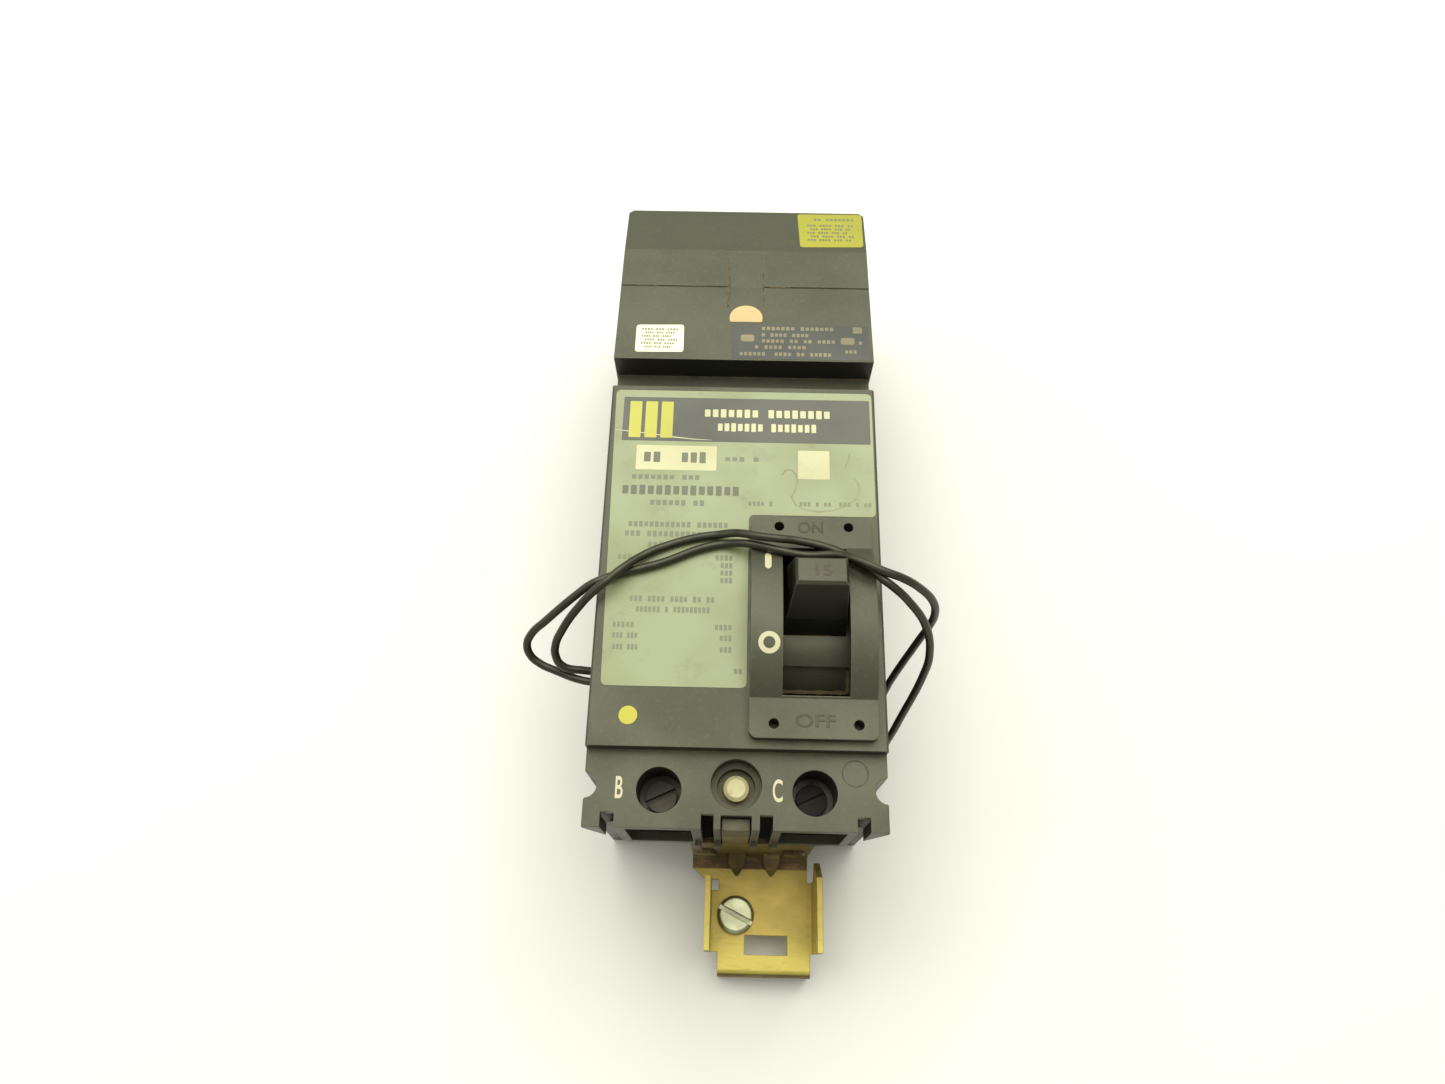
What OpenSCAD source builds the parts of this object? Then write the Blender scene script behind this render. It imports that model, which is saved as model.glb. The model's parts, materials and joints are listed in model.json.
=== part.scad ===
// Two-pole plug-on molded case breaker, lying on its back, with a shunt trip and its two leads.
// +X across the face, +Y towards the line end (bus-bar jaws), +Z out of the front face.
// The origin is on the centre of the footprint, at the back of the case.

/* [Case] */
// Width across the face
body_w = 75; // [70:0.5:80]
// Back of the case to the front of the main cover
face_z = 77; // [70:0.5:85]
// Height of the parting line between base and cover
part_z = 42; // [38:0.5:46]
// Moulded wall thickness
wall = 2.5; // [2:0.1:3.5]
// Thickness of the web between the two poles
web_w = 3.5; // [3:0.1:5]
// Y of the line end
line_y = 113; // [108:0.5:118]
// Y of the seam in the line block
seam_y = 79; // [74:0.5:84]
// Y of the line block's edge at the trough
trough_y = 50.5; // [48:0.5:54]
// Y of the main cover's line edge
cover_y = 42.5; // [40:0.5:46]
// Y of the step from the main cover down to the shelf
shelf_y = -61; // [-64:0.5:-58]
// Y of the load end
load_y = -80; // [-84:0.5:-78]
// Drop from the main cover to the load-end shelf
shelf_drop = 4; // [3:0.1:6]

/* [Poles] */
// X of the left pole
pole_b = -19; // [-20:0.1:-18]
// X of the right pole, which holds the mechanism
pole_c = 19.5; // [18:0.1:21]
// Y of the lug screw wells
well_y = -70.8; // [-72:0.1:-69]
// Radius of the lug screw wells
well_r = 5.6; // [5:0.1:6.5]

/* [Handle] */
// Y of the handle pivot
pivot_y = -28.5; // [-30:0.1:-27]
// Z of the handle pivot
pivot_z = 45; // [43:0.5:47]
// Lean of the handle towards the line end when it is on
lean = 12.5; // [8:0.5:16]
// Radius from the pivot to the top of the handle
handle_top_r = 46.5; // [44:0.5:50]
// Radius of the raised cheeks beside the handle
cheek_r = 40.5; // [39:0.5:42]
// Rise of the flat surround above the main cover
surround_rise = 3; // [2:0.1:4]

/* [Mechanism] */
// Y of the crossbar
bar_y = -22; // [-24:0.1:-20]
// Z of the crossbar
bar_z = 20; // [18:0.1:22]
// Radius of the crossbar
bar_r = 5; // [4:0.1:6]
// Radius of the two parallel cranks
crank_r = 9; // [7:0.1:10]
// Direction of the cranks when the handle is on
crank_angle = 166; // [150:1:180]
// Y of the trip bar
trip_y = -47; // [-48:0.1:-46]
// Z of the trip bar
trip_z = 54; // [52:0.1:56]
// Radius of the trip bar
trip_r = 2.5; // [2:0.1:3]
// Radial running clearance of a turning shaft
run_gap = 0.06; // [0.02:0.01:0.1]

/* [Line end] */
// Z of the lowest bus-bar slot
slot_z = 10; // [9:0.5:12]
// Distance between bus-bar slots
slot_pitch = 22; // [20:0.5:24]
// Height of a bus-bar slot
slot_h = 9; // [8:0.5:11]
// Depth of a bus-bar slot
slot_d = 24; // [20:0.5:28]
// Thickness of the copper straps
strap_t = 2; // [1.5:0.1:3]

/* [Bracket] */
// Thickness of the bracket sheet
sheet = 1.6; // [1.2:0.1:2]
// Z of the top of the bracket plate
plate_z = 13; // [11:0.5:16]
// Y of the hooked lip
lip_y = -113; // [-116:0.5:-110]
// Height of the side flanges above the plate
flange_h = 20; // [14:0.5:22]
// X of the bracket screw
screw_x = 0.9; // [-2:0.1:3]
// Y of the bracket screw
screw_y = -96.4; // [-98:0.1:-94]

/* [View] */
// Which node to make

/* [Hidden] */
$fn = 48;
eps = 0.1;
half_w = body_w / 2;
inner_w = half_w - wall;
half_web = web_w / 2;
roof_z = face_z - 3;
shelf_z = face_z - shelf_drop;
shelf_roof_z = shelf_z - wall;
floor_z = 3;
bay_y = seam_y - 1;
slot_y = line_y - slot_d;
strap_z = 14;
contact_y = 8;

// ---------- building blocks ----------

// box between two corners
module block(x, y, z) {
    translate([x[0], y[0], z[0]]) cube([x[1] - x[0], y[1] - y[0], z[1] - z[0]]);
}
// box centred across a pole
module pole_block(x, half, y, z) {
    block([x - half, x + half], y, z);
}
// cylinders along each axis
module post(x, y, z, r) {
    translate([x, y, z[0]]) cylinder(h = z[1] - z[0], r = r);
}
module rod_y(x, z, y, r) {
    translate([x, y[1], z]) rotate([90, 0, 0]) cylinder(h = y[1] - y[0], r = r);
}
module rod_x(y, z, x, r) {
    translate([x[0], y, z]) rotate([0, 90, 0]) cylinder(h = x[1] - x[0], r = r);
}
// outline in Y and Z, extruded along X
module side_plate(x, outline) {
    translate([x[0], 0, 0]) rotate([90, 0, 90]) linear_extrude(x[1] - x[0]) polygon(outline);
}
// outline in X and Z, extruded along Y
module end_plate(y, outline) {
    translate([0, y[1], 0]) rotate([90, 0, 0]) linear_extrude(y[1] - y[0]) polygon(outline);
}
// outline in X and Y, extruded along Z
module flat_plate(z, outline) {
    translate([0, 0, z[0]]) linear_extrude(z[1] - z[0]) polygon(outline);
}
// box with rounded upright edges
module soft_block(x, y, z, r) {
    block([x[0] + r, x[1] - r], y, z);
    block(x, [y[0] + r, y[1] - r], z);
    for (cx = [x[0] + r, x[1] - r], cy = [y[0] + r, y[1] - r]) post(cx, cy, z, r);
}
// rings side by side along X, as a coil's turns
module coil_x(y, z, x, turns, pitch, ring_r, wire_r) {
    for (i = [0 : turns - 1])
        translate([x + i * pitch, y, z]) rotate([0, 90, 0])
            rotate_extrude() translate([ring_r, 0]) circle(r = wire_r, $fn = 16);
}
module both_sides() {
    children();
    mirror([1, 0, 0]) children();
}
module both_poles() {
    translate([pole_b, 0, 0]) children();
    translate([pole_c, 0, 0]) children();
}

// ---------- case ----------

// case screw positions
screw_spots = [[-32.2, 37], [32.2, 37], [-32.2, -56], [32.2, -56]];
screw_boss_r = 3.6;
screw_shank_r = 1.6;
// centre rivet
rivet_x = 0.1;
rivet_y = -69.2;
rivet_well_r = 6.35;
rivet_r = 2;
// notches in the sides at the load end
notch_y = -70;
notch_r = 3.1;
notch_step_r = 6.6;
// load end: walls set back behind the end plate, the pad for the bracket and the terminal ledge
back_wall_y = -76;
base_end_y = -74.6;
pad_x = [-11.5, 21.3];
pad_y = -78.2;
end_w = 28.5;
ledge_y = -77.4;
ledge_z = 38;

module notches(z) {
    both_sides() {
        post(half_w, notch_y, z, notch_r);
        post(half_w + 5.6, notch_y, z, notch_step_r);
    }
}
module notch_walls(end_y, z) {
    intersection() {
        both_sides() post(half_w, notch_y, z, notch_r + wall);
        block([-half_w, half_w], [end_y, shelf_y], z);
    }
}
module bay(y, z) {
    block([-inner_w, -half_web], y, z);
    block([half_web, inner_w], y, z);
}
module screw_bosses(z) {
    for (p = screw_spots) post(p[0], p[1], z, screw_boss_r);
}

// eased edges along both sides at a height
module eased_sides(z, size) {
    both_sides() translate([half_w, 0, z]) rotate([0, 45, 0])
        cube([size, 400, size], center = true);
}
module parting_line() {
    eased_sides(part_z, 0.5);
}

// armature pivots stand on posts in the base
armature_y = -48.75;
armature_z = 38;
armature_pin_r = 1.5;
post_in = 7.2;
post_out = 9.2;

module case_base() {
    color([0.16, 0.165, 0.15]) difference() {
        union() {
            difference() {
                block([-half_w, half_w], [base_end_y, line_y], [0, part_z]);
                bay([base_end_y + wall, bay_y], [floor_z, part_z + eps]);
            }
            block(pad_x, [pad_y, base_end_y + wall], [0, part_z]);
            block([-end_w, end_w], [ledge_y, base_end_y + wall], [ledge_z, part_z]);
            notch_walls(base_end_y, [0, part_z]);
            screw_bosses([0, part_z]);
            post(rivet_x, rivet_y, [0, part_z], 5);
            both_poles() {
                pole_block(0, 6, [base_end_y + wall - eps, shelf_y - 1.4], [floor_z, part_z - strap_t]);
                pole_block(0, 4, [contact_y, bay_y - 12], [floor_z, strap_z - strap_t]);
                for (side = [-1, 1]) pole_block(side * (post_in + post_out) / 2, (post_out - post_in) / 2,
                    [armature_y - 3.2, armature_y + 3.2], [floor_z, part_z]);
            }
        }
        for (level = [0, 1]) block([-half_w - eps, half_w + eps], [slot_y, line_y + eps],
            [slot_z + level * slot_pitch - slot_h / 2, slot_z + level * slot_pitch + slot_h / 2]);
        parting_line();
        eased_sides(0, 0.8);
        jaw_pocket(pole_c, slot_z);
        jaw_pocket(pole_b, slot_z + slot_pitch);
        both_poles() {
            pole_block(0, 6.2, [pad_y - eps, base_end_y + wall],
                [part_z - strap_t, part_z + eps]);
            rod_x(armature_y, armature_z, [-post_out - eps, post_out + eps], armature_pin_r + run_gap);
        }
        // the crossbar drops into a slot in the web
        rod_x(bar_y, bar_z, [-half_web - eps, half_web + eps], bar_r + 0.5);
        block([-half_web - eps, half_web + eps], [bar_y - bar_r - 0.5, bar_y + bar_r + 0.5],
            [bar_z, part_z + eps]);
        notches([-eps, part_z + eps]);
        post(rivet_x, rivet_y, [-eps, part_z + eps], rivet_r);
        post(rivet_x, rivet_y, [-eps, 2], 4.4);
        for (p = screw_spots) {
            post(p[0], p[1], [-eps, part_z + eps], screw_shank_r);
            post(p[0], p[1], [-eps, 5], 3);
        }
        for (x = bracket_rivet_x) rod_y(x, bracket_rivet_z, [pad_y - eps, pad_y + 4], bracket_rivet_r);
    }
}
module jaw_pocket(x, z) {
    pole_block(x, 9.5, [bay_y - eps, line_y - 2], [z - 7, z + 7]);
}

// handle opening in the cover
opening_half = 8.45;
opening_y = [-48.25, -8.5];
handle_x = pole_c;
surround_x = [2.9, 34.9];
surround_y = [-58.9, 0.5];
surround_z = face_z + surround_rise;
cheek_bay_x = [surround_x[0] + wall, surround_x[1] - wall];
// small blind holes in the surround
pin_holes = [[10.3, -2.2], [28.7, -2.2], [9, -55.3], [30, -55.3]];
// wire openings in the end plate
wire_half = 8.2;
wire_z = [47.4, 70];
end_plate_z = 44;
// slots in the front edge of the shelf, left to right
edge_slots = [[-33.1, -29.7], [-8.4, -5.3], [6, 9.2], [29.8, 33]];
tongue_channel = [-3.6, 4];
// ribs that hang from the cover and carry the trip bar
trip_ribs = [[-31, -29], [-1.75, 1.75], [33.3, 34.9]];
// hole for the two leads in the left wall
lead_y = -39;
lead_z = 60;

module surround() {
    soft_block(surround_x, surround_y, [face_z, surround_z], 2);
    intersection() {
        rod_x(pivot_y, pivot_z, surround_x, cheek_r, $fn = 96);
        block(surround_x, [pivot_y - 22, pivot_y + 22], [face_z, pivot_z + cheek_r]);
    }
}
module case_cover() {
    color([0.16, 0.165, 0.15]) difference() {
        union() {
            difference() {
                union() {
                    difference() {
                        block([-half_w, half_w], [shelf_y, cover_y], [part_z, face_z]);
                        eased_sides(face_z, 0.8);
                    }
                    block([-half_w, half_w], [back_wall_y, shelf_y + eps], [part_z, shelf_z]);
                    surround();
                }
                bay([shelf_y + wall, cover_y - wall], [part_z - eps, roof_z]);
                bay([back_wall_y - 1.5, shelf_y + wall + eps], [part_z - eps, shelf_roof_z]);
            }
            // end plate with cut lower corners
            end_plate([load_y, load_y + wall], [[-half_w, shelf_z], [-half_w, shelf_roof_z],
                [-end_w, end_plate_z], [end_w, end_plate_z], [half_w, shelf_roof_z], [half_w, shelf_z]]);
            block([-half_w, half_w], [load_y, back_wall_y + wall], [shelf_roof_z, shelf_z]);
            notch_walls(back_wall_y, [part_z, shelf_z]);
            screw_bosses([part_z, roof_z]);
            post(rivet_x, rivet_y, [part_z, shelf_z], rivet_well_r + 1.6);
            both_poles() post(0, well_y, [61, shelf_z], well_r + 1.5);
            for (x = trip_ribs) block(x, [trip_y - 4.5, trip_y + 4.5], [trip_z - 4.5, roof_z]);
            // feet beside the bracket
            for (x = [-9.6, -4.4, 5, 10.4]) pole_block(x, 0.8, [load_y - 1.3, load_y + eps], [40.5, 50]);
        }
        block([handle_x - opening_half, handle_x + opening_half], opening_y,
            [roof_z - eps, surround_z + 10]);
        // hollow under the raised cheeks
        intersection() {
            rod_x(pivot_y, pivot_z, cheek_bay_x, cheek_r - wall, $fn = 96);
            block(cheek_bay_x, [pivot_y - 20, pivot_y + 20],
                [roof_z - eps, pivot_z + cheek_r]);
        }
        parting_line();
        for (p = pin_holes) post(p[0], p[1], [surround_z - 5, surround_z + eps], 1.3, $fn = 24);
        notches([part_z - eps, shelf_z + eps]);
        both_poles() {
            post(0, well_y, [60, shelf_z + eps], well_r);
            pole_block(0, wire_half, [load_y - eps, load_y + wall + eps], wire_z);
        }
        for (x = edge_slots) block(x, [load_y - eps, load_y + 3.6], [part_z - eps, shelf_z + eps]);
        block(tongue_channel, [load_y - eps, load_y + 3.4], [part_z - eps, shelf_z + eps]);
        post(rivet_x, rivet_y, [68, shelf_z + eps], rivet_well_r);
        post(rivet_x, rivet_y, [65, shelf_z + eps], rivet_well_r - 1.5);
        post(rivet_x, rivet_y, [part_z - eps, shelf_z], rivet_r);
        for (p = screw_spots) post(p[0], p[1], [part_z - eps, 60], screw_shank_r);
        rod_x(trip_y, trip_z, [-inner_w, inner_w], trip_r + run_gap);
        rod_x(lead_y, lead_z, [-half_w - eps, -inner_w + eps], 3.2);
        rod_x(lead_y, lead_z, [-half_w - eps, -half_w + 1], 4.5);
    }
}

// the line block's front slopes down to the line end
block_front = [[trough_y, face_z + 2], [seam_y, face_z - 1.5], [94, face_z - 3.2],
    [line_y, face_z - 7.5]];
seam_ease = 0.3;
// key groove that runs out on the front block
groove_x = [-5.1, 6];
groove_d = 0.6;

module rear_line_block() {
    color([0.17, 0.17, 0.15]) difference() {
        side_plate([-half_w, half_w], [[cover_y, part_z], [seam_y, part_z],
            [seam_y, block_front[1][1] - seam_ease], [seam_y - seam_ease, block_front[1][1]],
            block_front[0], [trough_y, face_z - 7], [cover_y, face_z - 7]]);
        parting_line();
        bay([cover_y + wall, seam_y - wall], [part_z - eps, face_z - 10]);
        side_plate(groove_x, [[seam_y - 8, face_z - groove_d - 0.52],
            [seam_y + eps, face_z - 1.5 - groove_d], [seam_y + eps, face_z], [seam_y - 8, face_z + 2]]);
        both_sides() block([half_w - 0.4, half_w + eps], [cover_y - eps, trough_y],
            [part_z, face_z]);
    }
}
module front_line_block() {
    color([0.17, 0.17, 0.15]) difference() {
        side_plate([-half_w, half_w], [[seam_y, part_z], [line_y, part_z], block_front[3],
            block_front[2], [seam_y + seam_ease, block_front[1][1]],
            [seam_y, block_front[1][1] - seam_ease]]);
        parting_line();
        block([-half_w - eps, half_w + eps], [slot_y, line_y + eps],
            [slot_z + 2 * slot_pitch - slot_h / 2, slot_z + 2 * slot_pitch + slot_h / 2]);
        bay([seam_y + wall, slot_y - wall], [part_z - eps, face_z - 10]);
        side_plate(groove_x, [[seam_y - eps, face_z - 1.5 - groove_d],
            [seam_y + 16, face_z - 3.3], [seam_y + 16, face_z], [seam_y - eps, face_z]]);
        both_sides() translate([half_w, line_y, 0]) rotate([0, 0, 45])
            cube([2, 2, 200], center = true);
    }
}

module case_screws() {
    color([0.55, 0.56, 0.52]) for (p = screw_spots) difference() {
        union() {
            post(p[0], p[1], [5, 58], screw_shank_r);
            post(p[0], p[1], [2.6, 5], 2.9);
        }
        pole_block(p[0], 2.4, [p[1] - 0.4, p[1] + 0.4], [2.5, 3.6]);
    }
}
module centre_rivet() {
    color([0.86, 0.83, 0.66]) {
        post(rivet_x, rivet_y, [0.8, 65], rivet_r);
        post(rivet_x, rivet_y, [0.4, 2], 3.6);
        post(rivet_x, rivet_y, [65, 67.4], 3.2);
        translate([rivet_x, rivet_y, 67.4]) cylinder(h = 0.7, r1 = 3.2, r2 = 2.3);
    }
}

// ---------- line side ----------

jaw_gap = 3;
jaw_half_w = 8;

// spring-clamped U of two fingers, opening at the line end
module jaw(x, z) {
    color([0.72, 0.45, 0.25]) difference() {
        side_plate([x - jaw_half_w, x + jaw_half_w], [
            [bay_y, z - 4.8], [100, z - 4.6], [104, z - 4.8], [109, z - 6.4], [109.6, z - 5],
            [104, z - jaw_gap - 0.1], [100, z - jaw_gap + 0.1], [bay_y + strap_t, z - jaw_gap - 0.2],
            [bay_y + strap_t, z + jaw_gap + 0.2], [100, z + jaw_gap - 0.1], [104, z + jaw_gap + 0.1],
            [109.6, z + 5], [109, z + 6.4], [104, z + 4.8], [100, z + 4.6], [bay_y, z + 4.8]]);
        rod_y(x, z, [bay_y - eps, bay_y + strap_t + eps], jaw_rivet_r);
    }
}
jaw_rivet_r = 1.5;
module jaw_b() { jaw(pole_b, slot_z + slot_pitch); }
module jaw_c() { jaw(pole_c, slot_z); }
module jaw_springs() {
    color([0.55, 0.56, 0.55])
        for (jaw_at = [[pole_b, slot_z + slot_pitch], [pole_c, slot_z]], side = [-1, 1])
            side_plate([jaw_at[0] - 6, jaw_at[0] + 6], [for (p = [[82, 4.85], [98.5, 4.7],
                [98.5, 5.6], [90, 6.6], [82, 5.7]]) [p[0], jaw_at[1] + side * p[1]]]);
}
module jaw_rivets() {
    color([0.75, 0.5, 0.28]) for (jaw_at = [[pole_b, slot_z + slot_pitch], [pole_c, slot_z]]) {
        rod_y(jaw_at[0], jaw_at[1], [bay_y - 3.2, bay_y + 3], jaw_rivet_r);
        rod_y(jaw_at[0], jaw_at[1], [bay_y - 3.2, bay_y - strap_t], 1.95);
        rod_y(jaw_at[0], jaw_at[1], [bay_y + strap_t, bay_y + 3], 2.6);
    }
}
// strap along the floor with an upright leg behind the jaw
module line_strap(x, leg_z, rivet_z) {
    color([0.72, 0.45, 0.25]) difference() {
        union() {
            pole_block(x, 6, [contact_y, bay_y], [strap_z - strap_t, strap_z]);
            pole_block(x, 6, [bay_y - strap_t, bay_y], leg_z);
        }
        rod_y(x, rivet_z, [bay_y - strap_t - eps, bay_y + eps], jaw_rivet_r);
    }
}
module line_strap_b() { line_strap(pole_b, [strap_z - eps, slot_z + slot_pitch + 5], slot_z + slot_pitch); }
module line_strap_c() { line_strap(pole_c, [slot_z - 5, strap_z - strap_t + eps], slot_z); }
module fixed_contact(x) {
    color([0.8, 0.8, 0.78]) pole_block(x, 4, [contact_y, contact_y + 9], [strap_z, strap_z + 1.5]);
}
module fixed_contact_b() { fixed_contact(pole_b); }
module fixed_contact_c() { fixed_contact(pole_c); }

// arc chute
arc_y = [18.6, 38];
arc_z = 19;
arc_pitch = 3.6;
arc_count = 6;
arc_half = 8;
module arc_plates(x) {
    color([0.5, 0.5, 0.48]) for (i = [0 : arc_count - 1])
        flat_plate([arc_z + i * arc_pitch, arc_z + i * arc_pitch + 1.2], [
            [x - arc_half, arc_y[0]], [x - 3.5, arc_y[0]], [x, arc_y[0] + 8], [x + 3.5, arc_y[0]],
            [x + arc_half, arc_y[0]], [x + arc_half, arc_y[1]], [x - arc_half, arc_y[1]]]);
}
module arc_cheeks(x) {
    color([0.75, 0.68, 0.5]) for (side = [-1, 1])
        pole_block(x + side * (arc_half + 0.5), 0.5, [arc_y[0] - 1, arc_y[1] + 1], [floor_z, part_z]);
}
module arc_plates_b() { arc_plates(pole_b); }
module arc_plates_c() { arc_plates(pole_c); }
module arc_cheeks_b() { arc_cheeks(pole_b); }
module arc_cheeks_c() { arc_cheeks(pole_c); }

// ---------- moving contacts ----------

arm_half = 3.6;
arm_z = [17.6, 21.6];
carrier_half = 6;
pin_r = 1.5;
upper_pin = [pivot_y + crank_r * cos(crank_angle), pivot_z + crank_r * sin(crank_angle)];
lower_pin = [bar_y + crank_r * cos(crank_angle), bar_z + crank_r * sin(crank_angle)];

module crossbar() {
    color([0.3, 0.12, 0.09]) difference() {
        union() {
            rod_x(bar_y, bar_z, [-33.5, 33.5], bar_r);
            both_poles() pole_block(0, carrier_half, [bar_y - 6, bar_y + 6], [bar_z - 5.5, bar_z + 5.5]);
            // crank cheeks for the drive links
            side_plate([pole_c - carrier_half, pole_c + carrier_half], [
                [bar_y - 2, bar_z - 3], [lower_pin[0], lower_pin[1] - 3], [lower_pin[0], lower_pin[1] + 3],
                [bar_y - 2, bar_z + 5.5]]);
            rod_x(lower_pin[0], lower_pin[1], [pole_c - carrier_half, pole_c + carrier_half], 3);
        }
        both_poles() pole_block(0, arm_half, [bar_y - 14, bar_y + 7], arm_z);
        pole_block(pole_c, arm_half + 0.2, [bar_y - 14, bar_y - 6.2], [bar_z - 6, bar_z + 9]);
        rod_x(lower_pin[0], lower_pin[1], [pole_c - 7, pole_c + 7], pin_r);
    }
}
module contact_arm(x) {
    color([0.72, 0.45, 0.25]) side_plate([x - arm_half, x + arm_half], [
        [bar_y - 6.8, arm_z[0]], [contact_y + 9, arm_z[0]], [contact_y + 9, arm_z[0] + 2],
        [contact_y, arm_z[1]], [bar_y - 6.8, arm_z[1]]]);
}
module contact_arm_b() { contact_arm(pole_b); }
module contact_arm_c() { contact_arm(pole_c); }
module moving_contacts() {
    color([0.8, 0.8, 0.78]) both_poles()
        pole_block(0, 3.4, [contact_y + 1, contact_y + 8], [strap_z + 1.8, arm_z[0]]);
}
module contact_springs() {
    color([0.6, 0.6, 0.58]) both_poles()
        for (side = [-1, 1]) coil_x(bar_y, bar_z, side * 7.2, 1, 1, bar_r + 0.6, 0.55);
}

// ---------- mechanism ----------

frame_in = 8.7;
frame_t = 1.5;
module mechanism_frame() {
    color([0.62, 0.6, 0.52]) difference() {
        union() {
            for (side = [-1, 1])
                side_plate([pole_c + side * (frame_in + frame_t / 2) - frame_t / 2,
                    pole_c + side * (frame_in + frame_t / 2) + frame_t / 2], [
                    [-43.5, floor_z], [-10, floor_z], [-12, 30], [-19, 55], [-38, 55], [-43.5, 42]]);
            pole_block(pole_c, frame_in + eps, [-43.5, -10], [floor_z, floor_z + frame_t]);
        }
        rod_x(pivot_y, pivot_z, [pole_c - 12, pole_c + 12], pivot_pin_r);
        rod_x(bar_y, bar_z, [pole_c - 12, pole_c + 12], bar_r + run_gap);
        rod_x(latch_pivot[0], latch_pivot[1], [pole_c + frame_in - eps, pole_c + 12], latch_pin_r);
    }
}
pivot_pin_r = 2;
module pivot_pin() {
    color([0.6, 0.6, 0.58]) rod_x(pivot_y, pivot_z, [pole_c - frame_in - 2.5, 34.2], pivot_pin_r);
}

// handle, drawn upright about its pivot and then leaned
hub_half = 6.4;
module at_handle() {
    translate([handle_x, pivot_y, pivot_z]) rotate([-lean, 0, 0]) children();
}
module handle() {
    color([0.1, 0.1, 0.1]) difference() {
        union() {
            at_handle() {
                block([-hub_half, hub_half], [-6, 6], [0, 26]);
                intersection() {
                    side_plate([-9, 9], [[-7.9, 25], [7.9, 25], [7.6, 35], [4.1, handle_top_r - 0.8],
                        [3.3, handle_top_r], [-3.3, handle_top_r], [-4.1, handle_top_r - 0.8],
                        [-7.6, 35]]);
                    end_plate([-9, 9], [[-7.7, 25], [8.1, 25], [8.1, 35], [7.8, handle_top_r - 0.8],
                        [7.1, handle_top_r], [-4.9, handle_top_r], [-5.6, handle_top_r - 0.8],
                        [-7.5, 35]]);
                }
            }
            rod_x(pivot_y, pivot_z, [handle_x - hub_half, handle_x + hub_half], 6);
            // crank to the drive links
            side_plate([handle_x - hub_half, handle_x + hub_half], [
                [pivot_y, pivot_z - 5], [upper_pin[0], upper_pin[1] - 3], [upper_pin[0], upper_pin[1] + 3],
                [pivot_y, pivot_z + 5.5]]);
            rod_x(upper_pin[0], upper_pin[1], [handle_x - hub_half, handle_x + hub_half], 3);
        }
        rod_x(pivot_y, pivot_z, [handle_x - 9, handle_x + 9], pivot_pin_r + run_gap);
        rod_x(upper_pin[0], upper_pin[1], [handle_x - 9, handle_x + 9], pin_r);
    }
}
shield_r = 28.6;
shield_t = 1.4;
tray_r = 26.4;
// curved sheet about the pivot, between two angles towards the load end
module arc_sheet(half, r, t, from, to) {
    middle = (from + to) / 2;
    difference() {
        intersection() {
            rod_x(0, 0, [-half, half], r, $fn = 96);
            side_plate([-half, half], concat([[0, 0]],
                [for (a = [to, middle, from]) [-60 * sin(a), 60 * cos(a)]]));
        }
        rod_x(0, 0, [-half - 1, half + 1], r - t, $fn = 96);
    }
}
module dust_shield() {
    color([0.13, 0.13, 0.12]) at_handle() {
        difference() {
            arc_sheet(11, shield_r, shield_t, -35.5, 32.5);
            block([-8, 8.5], [-8, 8], [20, 40]);
        }
        // tray one step lower, towards the load end, and the step between them
        arc_sheet(10.5, tray_r, shield_t, 30.5, 49);
        arc_sheet(10.5, shield_r - shield_t + eps, shield_r - tray_r + eps, 30.5, 32.5);
    }
}
link_in = 6.6;
link_t = 1.2;
module drive_links() {
    color([0.62, 0.6, 0.52]) for (side = [-1, 1]) difference() {
        x = pole_c + side * (link_in + link_t / 2);
        union() {
            rod_x(upper_pin[0], upper_pin[1], [x - link_t / 2, x + link_t / 2], 2.6);
            rod_x(lower_pin[0], lower_pin[1], [x - link_t / 2, x + link_t / 2], 2.6);
            side_plate([x - link_t / 2, x + link_t / 2], [[upper_pin[0] - 2, upper_pin[1]],
                [lower_pin[0] - 2, lower_pin[1]], [lower_pin[0] + 2, lower_pin[1]],
                [upper_pin[0] + 2, upper_pin[1]]]);
        }
        rod_x(upper_pin[0], upper_pin[1], [x - 2, x + 2], pin_r + run_gap);
        rod_x(lower_pin[0], lower_pin[1], [x - 2, x + 2], pin_r + run_gap);
    }
}
module link_pin(at) {
    color([0.6, 0.6, 0.58]) rod_x(at[0], at[1], [pole_c - 8.3, pole_c + 8.3], pin_r);
}
module upper_link_pin() { link_pin(upper_pin); }
module lower_link_pin() { link_pin(lower_pin); }
module handle_spring() {
    color([0.6, 0.6, 0.58])
        coil_x(pivot_y, pivot_z, pole_c + frame_in + frame_t + 0.6, 3, 1.15, pivot_pin_r + 0.55, 0.5);
}

// ---------- trip unit ----------

module trip_bar() {
    color([0.3, 0.12, 0.09]) {
        rod_x(trip_y, trip_z, [-33.4, 34.6], trip_r);
        // fins that the armatures push
        both_poles() pole_block(0, 4, [trip_y + 0.4, trip_y + 1.6], [trip_z - 11, trip_z]);
        // fin that the plunger pushes
        pole_block(pole_b, 4, [trip_y - 0.6, trip_y + 0.6], [trip_z, trip_z + 11]);
    }
}
latch_pivot = [-36, 34];
latch_pin_r = 1.5;
latch_x = [31.3, 32.9];
module latch_pin() {
    color([0.6, 0.6, 0.58])
        rod_x(latch_pivot[0], latch_pivot[1], [pole_c + frame_in, latch_x[1] + 0.8], latch_pin_r);
}
module latch_lever() {
    color([0.62, 0.6, 0.52]) difference() {
        side_plate(latch_x, [[-39, 31], [-33, 31], [-33, 37], [-39, 48.5], [-46.5, 50.3],
            [-46.5, 47.5], [-42, 46]]);
        rod_x(latch_pivot[0], latch_pivot[1], [latch_x[0] - eps, latch_x[1] + eps],
            latch_pin_r + run_gap);
    }
}
strap_foot_z = 8;
strap_leg_y = -62;
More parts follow.
